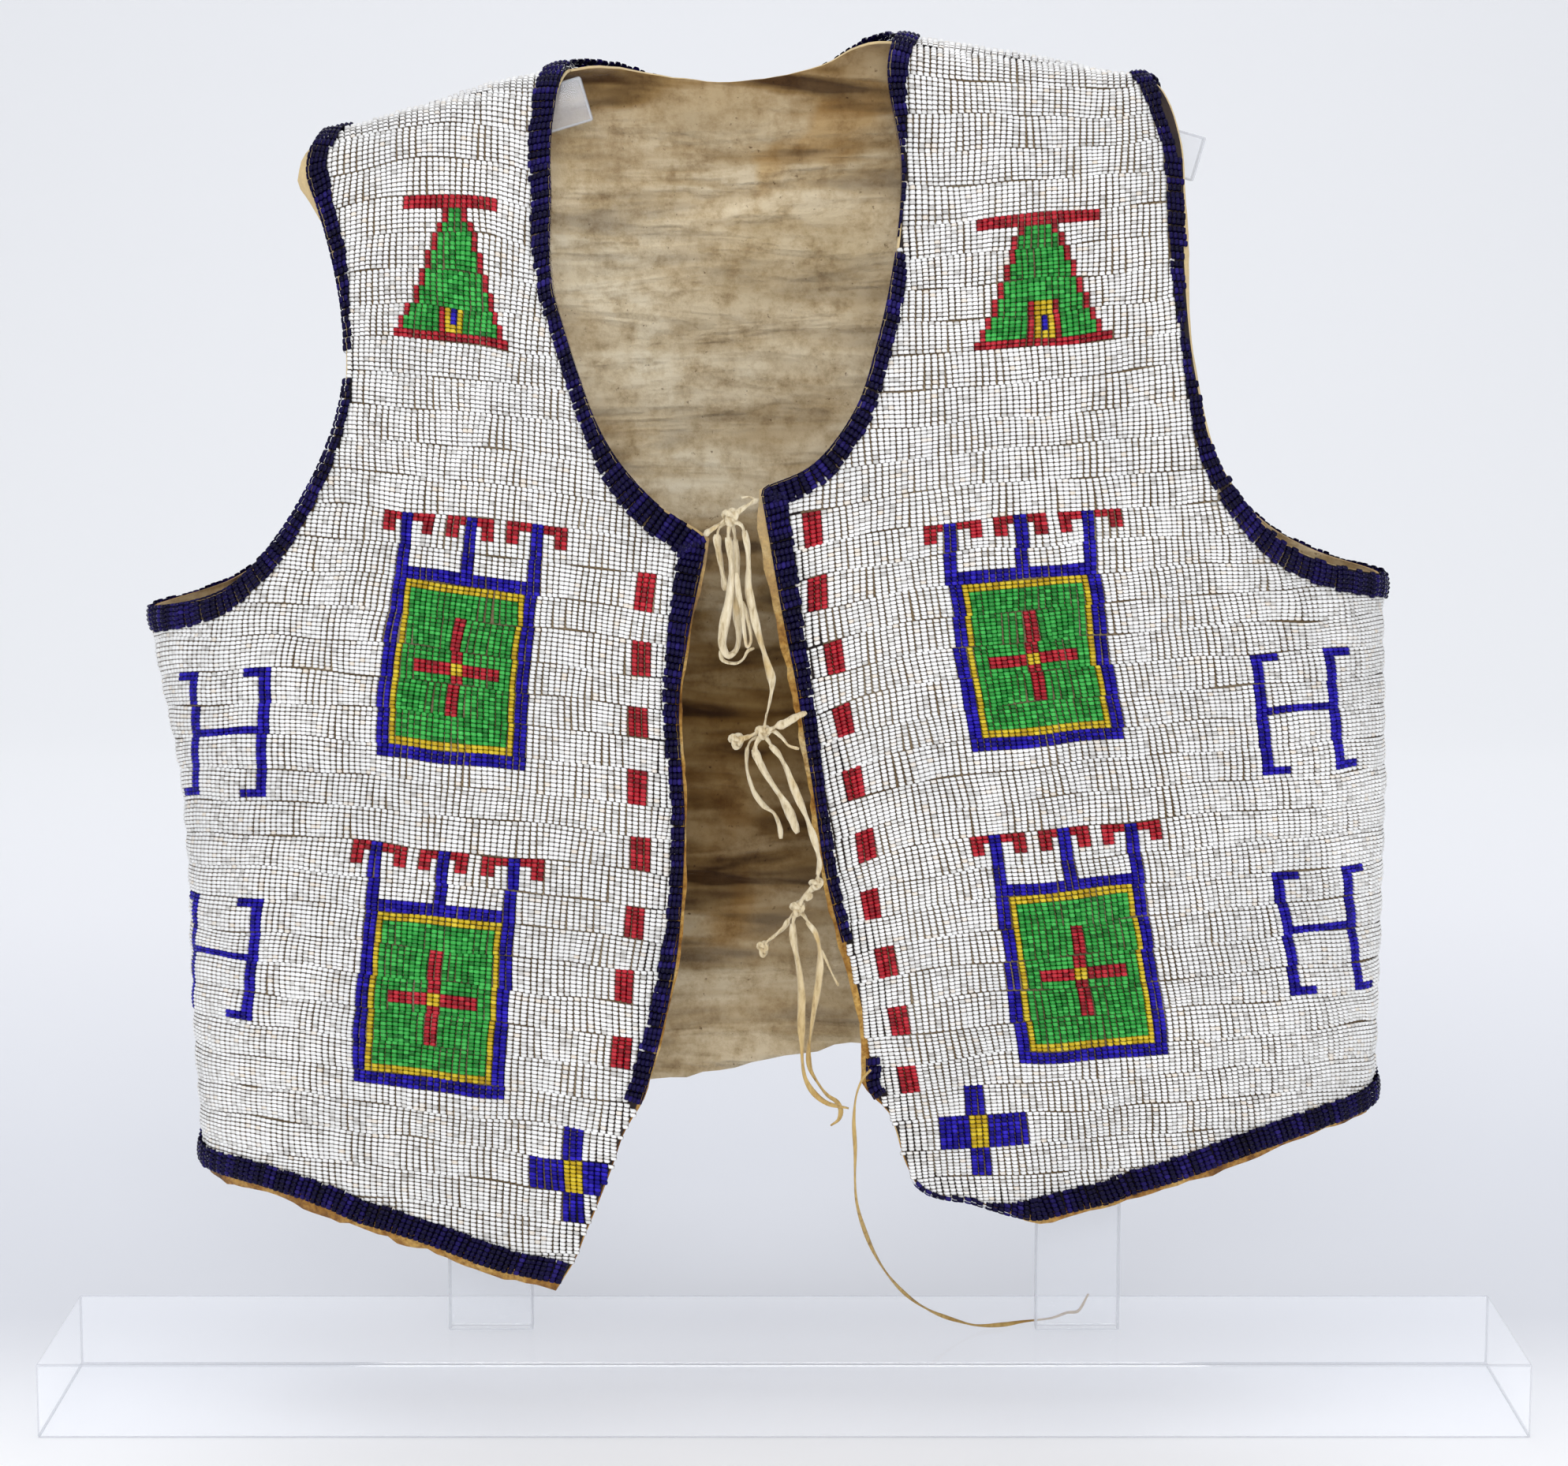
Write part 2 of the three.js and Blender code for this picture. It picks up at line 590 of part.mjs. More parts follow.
function addLeftFront() {
  const skin = skinOf(net({
    top: LEFT_FRONT.shoulder,
    bottom: LEFT_FRONT.hem,
    left: { upper: LEFT_FRONT.neck, lower: LEFT_FRONT.opening },
    right: { upper: LEFT_FRONT.armhole, lower: LEFT_FRONT.sideSeam },
    rows: FRONT_ROWS,
    columns: FRONT_COLUMNS,
  }), 'front');
  add('front_left', panelGeometry(skin, 'front'), 'beads');
  addSideEdging('edging_neck_left', skin, 'front', true, TOP_OF_VEST, 398);
  addSideEdging('edging_opening_left', skin, 'front', true, 395, 172);
  addSideEdging('edging_opening_left_low', skin, 'front', true, 134.5, 119);
  addSideEdging('edging_armhole_left', skin, 'front', false, TOP_OF_VEST, 287);
  addHemEdging('edging_hem_left', skin, 'front');
}

function addBack() {
  const points = net({
    top: BACK.top,
    bottom: BACK.hem,
    left: { upper: BACK.rightArmhole, lower: RIGHT_FRONT.sideSeam },
    right: { upper: BACK.leftArmhole, lower: LEFT_FRONT.sideSeam },
    rows: BACK_ROWS,
    columns: BACK_COLUMNS,
  });
  const skin = skinOf(points, 'back');
  add('back', panelGeometry(skin, 'back'), 'beads');
  addSideEdging('edging_armhole_back_right', skin, 'back', true, TOP_OF_VEST, 276);
  addSideEdging('edging_armhole_back_left', skin, 'back', false, TOP_OF_VEST, 287);
  addHemEdging('edging_hem_back', skin, 'back');
  addTopEdging('edging_neck_back', skin, 'back', RIGHT_FRONT.neck[0].x, LEFT_FRONT.neck[0].x);
}

// ---------------------------------------------------------------- ties

const TUBE_SIDES = 8;

// The hide thongs that tie the fronts, in three groups, and one loose thong that trails onto the
// base. Each runs from where it is held to its free end.
const THONGS = [
  {
    name: 'tie_top_loop', diameter: 3.2, spaces: 15,
    route: [
      { x: -17.8, y: -65.4, z: 304.8 }, { x: -16.9, y: -65.6, z: 298.3 }, { x: -16.8, y: -65.6, z: 291.5 },
      { x: -17.6, y: -65.4, z: 284.0 }, { x: -19.2, y: -65.2, z: 275.5 }, { x: -19.6, y: -64.8, z: 270.0 },
      { x: -17.8, y: -63.6, z: 266.8 }, { x: -15.2, y: -62.0, z: 268.6 }, { x: -14.4, y: -61.2, z: 274.6 },
      { x: -15.1, y: -60.8, z: 282.2 }, { x: -15.2, y: -60.8, z: 290.4 }, { x: -15.6, y: -60.9, z: 303.6 },
    ],
  },
  {
    name: 'tie_top_tail', diameter: 2.8, spaces: 6,
    route: [
      { x: -21.4, y: -63.6, z: 305.6 }, { x: -20.9, y: -63.6, z: 300.6 }, { x: -20.1, y: -63.4, z: 296.0 },
      { x: -19.2, y: -62.6, z: 290.6 }, { x: -18.8, y: -62.2, z: 287.4 },
    ],
  },
  {
    name: 'tie_top_long', diameter: 2.9, spaces: 12,
    route: [
      { x: -12.6, y: -64.8, z: 306.8 }, { x: -11.6, y: -65.6, z: 301.6 }, { x: -11.3, y: -66.0, z: 295.6 },
      { x: -11.4, y: -66.0, z: 289.5 }, { x: -9.9, y: -66.0, z: 281.2 }, { x: -7.8, y: -65.8, z: 272.8 },
      { x: -5.3, y: -65.6, z: 264.4 }, { x: -3.8, y: -65.4, z: 258.2 }, { x: -4.4, y: -65.3, z: 253.0 },
      { x: -5.6, y: -65.2, z: 247.6 },
    ],
  },
  {
    name: 'tie_middle_leaf', diameter: 2.8, spaces: 3,
    route: [
      { x: -2.6, y: -66.2, z: 244.2 }, { x: 0.2, y: -66.6, z: 245.2 }, { x: 3.6, y: -66.6, z: 247.2 },
      { x: 7.2, y: -66.2, z: 248.7 },
    ],
  },
  {
    name: 'tie_middle_loop', diameter: 3.2, spaces: 8,
    route: [
      { x: -9.6, y: -65.2, z: 236.8 }, { x: -8.2, y: -65.8, z: 233.4 }, { x: -6.2, y: -66.0, z: 229.4 },
      { x: -3.4, y: -66.0, z: 225.0 }, { x: -0.6, y: -65.8, z: 220.8 }, { x: 1.8, y: -65.6, z: 216.2 },
      { x: 4.4, y: -65.4, z: 209.6 },
    ],
  },
  {
    name: 'tie_middle_strand', diameter: 1.9, spaces: 9,
    route: [
      { x: -11.8, y: -62.6, z: 236.9 }, { x: -12.0, y: -62.0, z: 230.8 }, { x: -10.8, y: -61.6, z: 225.2 },
      { x: -9.2, y: -61.6, z: 221.4 }, { x: -6.4, y: -61.8, z: 217.8 }, { x: -3.2, y: -62.0, z: 215.4 },
      { x: -1.4, y: -62.2, z: 211.0 }, { x: -1.0, y: -62.2, z: 207.2 },
    ],
  },
  {
    name: 'tie_middle_long', diameter: 2.6, spaces: 12,
    route: [
      { x: -4.4, y: -64.6, z: 237.9 }, { x: -2.0, y: -65.2, z: 235.4 }, { x: 0.6, y: -65.6, z: 230.8 },
      { x: 2.4, y: -66.0, z: 226.2 }, { x: 4.4, y: -66.4, z: 221.4 }, { x: 6.6, y: -66.6, z: 216.4 },
      { x: 8.8, y: -66.8, z: 210.4 }, { x: 10.6, y: -66.8, z: 204.4 }, { x: 11.4, y: -66.6, z: 199.6 },
      { x: 10.8, y: -66.0, z: 196.0 },
    ],
  },
  {
    name: 'tie_low_link', diameter: 2.6, spaces: 2,
    route: [{ x: 8.7, y: -65.0, z: 189.9 }, { x: 7.0, y: -64.8, z: 187.5 }],
  },
  {
    name: 'tie_low_long', diameter: 3.2, spaces: 14,
    route: [
      { x: 2.8, y: -65.6, z: 180.0 }, { x: 3.0, y: -66.0, z: 175.4 }, { x: 4.6, y: -66.0, z: 166.4 },
      { x: 5.6, y: -65.8, z: 157.3 }, { x: 5.6, y: -65.6, z: 148.4 }, { x: 5.8, y: -65.4, z: 140.2 },
      { x: 6.0, y: -65.2, z: 134.0 }, { x: 7.0, y: -64.8, z: 128.6 }, { x: 9.6, y: -64.4, z: 124.0 },
      { x: 14.0, y: -64.0, z: 120.4 }, { x: 21.0, y: -63.6, z: 118.6 },
    ],
  },
  {
    name: 'tie_low_strand', diameter: 2.6, spaces: 12,
    route: [
      { x: 7.4, y: -64.2, z: 180.4 }, { x: 10.2, y: -64.8, z: 176.6 }, { x: 11.6, y: -65.2, z: 169.8 },
      { x: 11.2, y: -65.2, z: 161.2 }, { x: 9.8, y: -65.0, z: 152.0 }, { x: 8.9, y: -64.2, z: 145.4 },
      { x: 8.0, y: -62.6, z: 138.6 }, { x: 8.4, y: -62.0, z: 131.7 }, { x: 11.6, y: -61.4, z: 125.6 },
      { x: 14.2, y: -60.8, z: 122.2 }, { x: 17.2, y: -60.4, z: 120.0 }, { x: 18.5, y: -60.3, z: 117.2 },
      { x: 17.8, y: -60.2, z: 114.0 }, { x: 15.2, y: -60.2, z: 112.0 },
    ],
  },
  {
    name: 'tie_low_tail', diameter: 2.0, spaces: 4,
    route: [
      { x: 1.6, y: -62.8, z: 181.0 }, { x: 0.2, y: -62.6, z: 178.4 }, { x: -2.2, y: -62.6, z: 176.2 },
      { x: -4.4, y: -62.8, z: 174.4 },
    ],
  },
  {
    name: 'thong_loose', diameter: 1.4, spaces: 38,
    route: [
      { x: 28.2, y: -62.6, z: 131.2 }, { x: 25.6, y: -63.2, z: 128.4 }, { x: 23.6, y: -63.4, z: 123.4 },
      { x: 22.7, y: -63.4, z: 115.4 }, { x: 23.2, y: -62.4, z: 104.4 }, { x: 23.2, y: -60.0, z: 93.0 },
      { x: 23.9, y: -56.0, z: 84.9 }, { x: 26.3, y: -48.0, z: 74.5 }, { x: 30.5, y: -38.0, z: 62.2 },
      { x: 36.0, y: -28.0, z: 51.2 }, { x: 43.0, y: -18.5, z: 41.6 }, { x: 51.2, y: -10.0, z: 34.2 },
      { x: 59.4, y: -4.5, z: 29.6 }, { x: 66.4, y: -1.4, z: 27.0 }, { x: 75.6, y: 1.6, z: 26.4 },
      { x: 82.4, y: 5.2, z: 26.4 }, { x: 92.8, y: 8.8, z: 26.6 }, { x: 98.6, y: 12.0, z: 27.6 },
      { x: 102.0, y: 12.6, z: 27.8 }, { x: 105.8, y: 13.0, z: 34.0 },
    ],
  },
];

// Knots of the same thong, as rounded lumps.
const KNOTS = [
  { name: 'tie_top_knot', x: -17.2, y: -63.6, z: 310.4, wide: 4.6, deep: 3.6, tall: 3.2 },
  { name: 'tie_middle_knot', x: -7.4, y: -64.0, z: 241.8, wide: 4.4, deep: 3.4, tall: 3.2 },
  { name: 'tie_middle_bead', x: -15.4, y: -63.2, z: 239.4, wide: 2.8, deep: 2.6, tall: 2.4 },
  { name: 'tie_low_end', x: 10.4, y: -65.0, z: 192.8, wide: 3.2, deep: 2.6, tall: 1.9 },
  { name: 'tie_low_knot', x: 4.6, y: -64.2, z: 184.4, wide: 3.6, deep: 3.2, tall: 3.0 },
  { name: 'tie_low_bead', x: -6.6, y: -62.8, z: 171.6, wide: 2.2, deep: 2.2, tall: 3.2 },
];

function circleShape(diameter, sides) {
  const shape = new THREE.Shape();
  for (let k = 0; k < sides; k += 1) {
    const turn = (k / sides) * 2 * Math.PI;
    const x = (diameter / 2) * Math.cos(turn);
    const y = (diameter / 2) * Math.sin(turn);
    if (k === 0) shape.moveTo(x, y);
    else shape.lineTo(x, y);
  }
  shape.closePath();
  return shape;
}

function addThong({ name, diameter, spaces, route }) {
  const path = new THREE.CatmullRomCurve3(
    route.map(({ x, y, z }) => new THREE.Vector3(x, y, z)),
    false,
    'centripetal',
  );
  const geometry = new THREE.ExtrudeGeometry(circleShape(diameter, TUBE_SIDES), {
    steps: spaces,
    extrudePath: path,
  });
  add(name, geometry, 'thong');
}

function addKnot({ name, x, y, z, wide, deep, tall }) {
  const geometry = new THREE.IcosahedronGeometry(1, 2);
  geometry.scale(wide, deep, tall);
  add(name, geometry, 'thong').position.set(x, y, z);
}

// ---------------------------------------------------------------- the stand

// A post and its shoulder bar, cut from one sheet: the post's foot stands just clear of the base,
// and the bar slopes with the shoulder under the hide.
const SHOULDER_BARS = [
  { name: 'stand_post_right', x: -POST.x, left: { x: -149, top: 426.6 }, right: { x: -67, top: 451 } },
  { name: 'stand_post_left', x: POST.x, left: { x: 41, top: 459 }, right: { x: 139, top: 431 } },
];

function addPost({ name, x, left, right }) {
  const slope = (right.top - left.top) / (right.x - left.x);
  const length = Math.hypot(1, slope);
  const square = { x: (slope / length) * SHOULDER_BAR_HEIGHT, z: -SHOULDER_BAR_HEIGHT / length };
  const underside = (at) => left.top + square.z + slope * (at - left.x - square.x);
  const foot = BASE.thickness + PIECE_GAP;
  const [near, far] = [x - POST.width / 2, x + POST.width / 2];
  const outline = [
    [near, foot], [far, foot], [far, underside(far)],
    [right.x + square.x, right.top + square.z], [right.x, right.top],
    [left.x, left.top], [left.x + square.x, left.top + square.z], [near, underside(near)],
  ];
  const shape = new THREE.Shape(outline.map(([across, up]) => new THREE.Vector2(across, up)));
  const geometry = new THREE.ExtrudeGeometry(shape, { depth: POST.thickness, bevelEnabled: false });
  const mesh = add(name, geometry, 'acrylic');
  mesh.rotation.x = Math.PI / 2;
  mesh.position.y = POST.thickness / 2;
}

function addBase() {
  const slab = new THREE.BoxGeometry(BASE.width, BASE.depth, BASE.thickness);
  add('stand_base', slab, 'acrylic').position.z = BASE.thickness / 2;
}

addBase();
SHOULDER_BARS.forEach(addPost);
addRightFront();
addLeftFront();
addBack();
THONGS.forEach(addThong);
KNOTS.forEach(addKnot);

export default vest;
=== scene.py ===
"""A beaded hide vest with navy edgings and hide ties, resting on a clear acrylic stand.

The vest's tables are in millimetres, as in the part's own source, and become metres where a mesh
is made. A place on the vest is a chart point (arc, drop): arc is the distance round the body from
its middle, and drop is the distance down from the shoulder fold. The beadwork is laid out in lanes
of eight beads, and a bead is found by its row (eight to a lane, from the top) and its column.
"""

import math

import bmesh
import bpy
import numpy as np
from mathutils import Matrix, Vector


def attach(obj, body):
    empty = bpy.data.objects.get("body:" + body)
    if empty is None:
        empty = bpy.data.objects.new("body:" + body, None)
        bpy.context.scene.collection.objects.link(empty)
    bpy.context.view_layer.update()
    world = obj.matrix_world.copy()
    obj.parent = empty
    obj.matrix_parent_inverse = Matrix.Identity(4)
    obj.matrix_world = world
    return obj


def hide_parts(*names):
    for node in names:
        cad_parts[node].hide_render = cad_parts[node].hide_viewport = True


MM = 0.001
SEED = 11

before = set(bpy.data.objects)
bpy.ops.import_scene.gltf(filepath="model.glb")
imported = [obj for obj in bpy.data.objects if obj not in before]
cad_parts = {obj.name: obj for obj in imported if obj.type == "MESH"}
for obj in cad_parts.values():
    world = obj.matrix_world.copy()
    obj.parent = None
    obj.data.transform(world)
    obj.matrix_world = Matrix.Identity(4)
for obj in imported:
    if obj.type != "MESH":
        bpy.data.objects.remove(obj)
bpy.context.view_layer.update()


def named(columns, rows):
    """A table: each row's values under the columns' names."""
    return [dict(zip(columns, row)) for row in rows]


def named_tables(columns, tables):
    """Several such tables, by name."""
    return {name: named(columns, rows) for name, rows in tables.items()}


# ------------------------------------------------------------------ driving sizes

PIECE_GAP = 0.3
SEAM_HALF_GAP = 0.2
EDGING_WIDTH = 8.8
EDGING_THICKNESS = 1.6
SHOULDER_ROLL = 11.0
SHOULDER_FALL = 150.0

HIDE_FACE = -1.8  # the hide's beaded side, from the vest's outer surface
HIDE_THICKNESS = 1.1
BEADS_PER_LANE = 8
EDGING_BEADS = 6
EDGING_PITCH = 2.2

BASE_SIZE = (500.0, 82.0, 25.4)
POST = {"x": 100.7, "width": 29.0, "thickness": 6.35}
SHOULDER_BAR_HEIGHT = 15.0
POLISHED_EDGE = 0.7

# The body's outer shape by height: how far it reaches to each side and to the front and back.
GIRTH = named(("z", "left", "right", "depth"), [
    (40, -196, 202, 58),
    (91, -199, 201.6, 58),
    (132, -201, 202, 57.5),
    (211, -203, 203, 57),
    (281, -213, 201, 56),
    (480, -213, 201, 56),
])

# The shoulder fold's height, carried on past the shoulders in the same slope.
RIDGE = named(("x", "z"), [
    (-240, 408), (-150.5, 433), (-71, 455), (-16, 460.5), (38, 464), (121, 451), (240, 432),
])

# Outlines as seen from the front, (x, z), each from the top down or from left to right.
RIGHT_FRONT = {
    "shoulder": [(-150.5, 433), (-71, 455)],
    "armhole": [
        (-150.5, 433), (-155, 425), (-155.5, 419), (-152.5, 410), (-149, 399), (-144.5, 380),
        (-142.8, 366), (-143, 349), (-148, 331), (-159, 310), (-174, 291), (-186, 282.5),
        (-213, 276),
    ],
    "side": [(-213, 276), (-199.5, 87.6)],
    "neck": [
        (-71, 455), (-75.4, 442), (-77, 426), (-76.6, 411), (-76.8, 395), (-75.6, 382),
        (-71.4, 368), (-66.6, 354), (-60.6, 339), (-53.6, 327.5), (-41.5, 314.6), (-31.5, 307.6),
        (-25, 303),
    ],
    "opening": [
        (-25, 303), (-32, 270), (-34.7, 247.6), (-33, 206), (-37, 159), (-47.5, 118), (-53, 107),
        (-56, 98), (-59.2, 89.5), (-63, 80), (-66.6, 71.5), (-69.5, 64), (-74.3, 56),
    ],
    "hem": [
        (-199.5, 87.6), (-180, 84.7), (-165, 82.2), (-151, 78.6), (-142, 75.2), (-130, 72.5),
        (-117, 69), (-109, 66.3), (-101, 63.4), (-90, 60.1), (-74.3, 56),
    ],
}

LEFT_FRONT = {
    "shoulder": [(38, 464), (121, 451)],
    "neck": [
        (38, 464), (34.5, 453), (39, 424), (38, 403), (35.8, 388), (31, 366.5), (23.4, 344),
        (9.6, 326.5), (-6.6, 319),
    ],
    "opening": [
        (-6.6, 319), (-2.3, 294), (4, 260.5), (9, 230), (14, 196), (22, 163), (26.6, 142),
        (27.6, 131), (27.8, 124.5), (31, 119), (34.3, 115), (37.1, 108), (39.6, 99), (43.5, 90.5),
    ],
    "armhole": [
        (121, 451), (130, 429), (131, 412), (131, 389), (134, 356), (142, 326), (161, 302),
        (178, 293), (201, 287),
    ],
    "side": [(201, 287), (202.5, 109.2)],
    "hem": [
        (43.5, 90.5), (47, 87.5), (54, 85.3), (60, 84.8), (67, 82.8), (75, 80.5), (83, 78.9),
        (91, 80.6), (99, 82.2), (107, 83.8), (115, 86.6), (123, 88.4), (133, 91), (148, 95.5),
        (160, 98.8), (181, 103.9), (202.5, 109.2),
    ],
}

BACK = {
    "shoulder": [
        (-150.5, 433), (-110, 444.2), (-71, 455), (-56, 455), (-43, 451.5), (-14.2, 448.4),
        (12, 454), (38, 464), (80, 457.4), (121, 451),
    ],
    "right_armhole": [
        (-150.5, 433), (-151, 420), (-148, 399), (-145, 366), (-146, 349), (-151, 331), (-162, 310),
        (-177, 291), (-188, 283), (-213, 276),
    ],
    "left_armhole": [
        (121, 451), (129.5, 433), (131.5, 412), (132.5, 389), (136.5, 356), (145, 326), (163, 303),
        (180, 293), (201, 287),
    ],
    "hem": [
        (-199.5, 87.6), (-150, 90), (-100, 97), (-43, 105.5), (-7, 111.6), (32, 118), (90, 117),
        (150, 113), (202.5, 109.2),
    ],
}

# Soft folds: a ridge or, with a negative height, a trough, round (x, z), leaning by degrees.
FOLDS = named(("side", "x", "z", "lean", "length", "width", "height"), [
    ("front", 148, 294, 38, 46, 6, 2.6),
    ("front", 158, 282, 40, 54, 5, -2.2),
    ("front", 166, 280, 44, 44, 5, 2.4),
    ("front", 186, 272, 30, 40, 6, 1.8),
    ("front", -172, 280, -36, 44, 6, 2.2),
    ("front", -186, 262, -30, 40, 6, 1.6),
    ("front", 46, 88, 40, 90, 20, -5.5),
    ("front", -72, 54, -35, 90, 18, -5.5),
    ("front", -28, 300, -10, 60, 12, -2.5),
    ("front", -120, 180, -4, 190, 34, 2.2),
    ("front", 104, 170, 5, 190, 34, 2.2),
    ("back", 160, 280, 38, 50, 6, 2.2),
    ("back", 172, 272, 40, 44, 5, -1.8),
    ("back", -176, 270, -36, 46, 6, 2.2),
    ("back", -8, 260, 2, 230, 30, -2.6),
    ("back", 74, 200, 4, 200, 32, 2.0),
    ("back", -88, 205, -5, 210, 30, 2.2),
])

# ------------------------------------------------------------------ beadwork layout

# Each panel's lanes: where column 0 begins, the height of a lane's top line there, a column's
# width, the line's slope, and how fast it bows down to smaller and to larger arcs.
GRAIN_COLUMNS = ("lane", "arc", "level", "gauge", "slope", "bow_before", "bow_after")
RIGHT_GRAIN = named(GRAIN_COLUMNS, [
    (-4, -117, 458.5, 1.95, 0.09, 0.0024, 0.0024),
    (-3, -117, 447, 1.95, 0.09, 0.0030, 0.0030),
    (-2, -117, 435.5, 1.95, 0.09, 0.0036, 0.0036),
    (-1, -117, 424, 1.95, 0.09, 0.0042, 0.0042),
    (0, -117, 412.4, 1.95, 0.085, 0.0046, 0.0046),
    (1, -117, 400.6, 1.95, 0.045, 0.0037, 0.0037),
    (2, -117, 388.8, 1.95, 0.02, 0.0030, 0.0030),
    (3, -117, 377.3, 1.95, -0.02, 0.0018, 0.0016),
    (4, -117, 366.3, 1.95, -0.035, 0.0014, 0.0012),
    (8, -117.2, 323, 1.95, -0.08, 0.0007, 0.0003),
    (11, -120.6, 290.3, 1.96, -0.095, 0.0012, 0.0003),
    (16, -133, 236, 2.07, -0.065, 0.0014, 0.0003),
    (21, -142.2, 180.8, 2.14, -0.055, 0.0010, 0.0003),
    (26, -148, 126.7, 2.22, -0.06, 0.0008, 0.0003),
    (32, -153, 62, 2.22, -0.06, 0.0006, 0.0003),
    (36, -156, 19, 2.22, -0.06, 0.0005, 0.0003),
])
LEFT_GRAIN = named(GRAIN_COLUMNS, [
    (-5, 54.3, 462.5, 2.03, -0.17, -0.0018, -0.0018),
    (-4, 54.5, 450.6, 2.03, -0.14, -0.0016, -0.0016),
    (-3, 54.6, 438.8, 2.03, -0.045, -0.0006, -0.0006),
    (-2, 54.7, 426.8, 2.03, 0.005, -0.0006, -0.0006),
    (-1, 54.8, 415.3, 2.03, 0.035, -0.0004, -0.0004),
    (0, 55, 403.8, 2.03, 0.085, 0.0, 0.0),
    (1, 55.1, 393.2, 2.03, 0.082, 0.0, 0.0),
    (2, 55.3, 382.8, 2.03, 0.07, -0.0002, -0.0002),
    (3, 55.4, 372.6, 2.03, 0.055, -0.0003, -0.0005),
    (4, 55.6, 362.1, 2.03, 0.055, 0.0002, -0.0004),
    (9, 57.2, 308.3, 2.07, 0.095, 0.0018, 0.00037),
    (11, 58.6, 288.1, 2.09, 0.095, 0.0021, 0.00037),
    (16, 63.2, 237.6, 2.14, 0.095, 0.0030, 0.00037),
    (21, 69.9, 186, 2.10, 0.09, 0.0019, 0.00037),
    (26, 78.3, 134.6, 2.16, 0.058, 0.0005, 0.00037),
    (30, 83, 94, 2.16, 0.05, 0.0004, 0.00037),
    (36, 90, 33, 2.16, 0.04, 0.0004, 0.00037),
])
BACK_GRAIN = named(GRAIN_COLUMNS, [
    (0, 0, 470, 2.05, 0.0, 0.0001, 0.0001),
    (36, 0, 74, 2.05, 0.0, 0.0001, 0.0001),
])
# The lanes and columns that are laid out, from which each panel keeps those that lie on it.
LEAST_LANE = -6
LANES = 44
COLUMN_REACH = 112

COLOURS = ("white", "green", "red", "yellow", "blue")
WHITE, GREEN, RED, YELLOW, BLUE = range(len(COLOURS))

# Charts of the motifs, in rows and columns from each motif's own corner, painted in this order.
CHART_COLUMNS = ("colour", "row", "rows", "column", "columns")

BOX = named(CHART_COLUMNS, [
    (BLUE, 0, 13, 0, 2),
    (BLUE, 0, 13, 11, 2),
    (BLUE, 0, 13, 22, 2),
    (BLUE, 13, 46, 0, 24),
    (YELLOW, 16, 40, 2, 20),
    (GREEN, 18, 36, 3, 18),
    (RED, 24, 24, 11, 2),
    (RED, 35, 3, 5, 14),
    (YELLOW, 35, 3, 11, 2),
])

# The red hooks beside each prong: where the bar of each begins and how wide it is, and where its
# drop hangs.
HOOK_BARS = [(-3, 3, -3), (2, 4, 4), (8, 3, 8), (13, 3, 14), (18, 4, 18), (24, 4, 26)]
HOOKS = named(CHART_COLUMNS, [
    mark for bar, wide, drop in HOOK_BARS for mark in ((RED, 0, 2, bar, wide), (RED, 2, 3, drop, 2))
])


def tipi_chart(top_bar, narrowest, steps, foot, door):
    """A tipi: a bar, then green steps edged in red, each a column wider to each side, on a foot.

    steps has the first row and the rows of each, and narrowest is half the first one's width."""
    marks = [top_bar]
    for half, (first, rows) in enumerate(steps, start=narrowest):
        marks.append((RED, first, rows, -half, 2 * half))
        marks.append((GREEN, first, rows, 1 - half, 2 * half - 2))
    return named(CHART_COLUMNS, [*marks, foot, *door])


RIGHT_TIPI = tipi_chart(
    (RED, 0, 3, -9, 16), 2,
    [(3, 3), (6, 2), (8, 4), (12, 4), (16, 4), (20, 4), (24, 3), (27, 3)],
    (RED, 30, 2, -10, 20), [(RED, 24, 6, -2, 1), (YELLOW, 24, 6, -1, 3), (BLUE, 24, 4, 0, 1)],
)
LEFT_TIPI = tipi_chart(
    (RED, 0, 3, -10, 20), 3,
    [(3, 2), (5, 3), (8, 4), (12, 4), (16, 4), (20, 4), (24, 3), (27, 3)],
    (RED, 30, 2, -11, 23), [(RED, 21, 9, -2, 5), (YELLOW, 21, 9, -1, 3), (BLUE, 24, 4, 0, 1)],
)


def h_chart(legs, span, foot):
    """An H: a leg at each of two columns, a bar between them, and feet to one side of each leg."""
    rows = []
    for leg in legs:
        start = leg if foot > 0 else leg + 1 + foot
        rows += [
            (BLUE, 0, span, leg, 2),
            (BLUE, 0, 2, start, abs(foot) + 1),
            (BLUE, span - 2, 2, start, abs(foot) + 1),
        ]
    rows.append((BLUE, span // 2 - 1, 2, min(legs), max(legs) - min(legs)))
    return named(CHART_COLUMNS, rows)


def cross_chart(arm, before, after):
    """A small cross: an upright three lanes tall, and a bar one lane tall with a yellow middle."""
    return named(CHART_COLUMNS, [
        (BLUE, 0, 3 * BEADS_PER_LANE, 0, arm),
        (BLUE, BEADS_PER_LANE, BEADS_PER_LANE, -before, before + arm + after),
        (YELLOW, BEADS_PER_LANE, BEADS_PER_LANE, 0, arm),
    ])


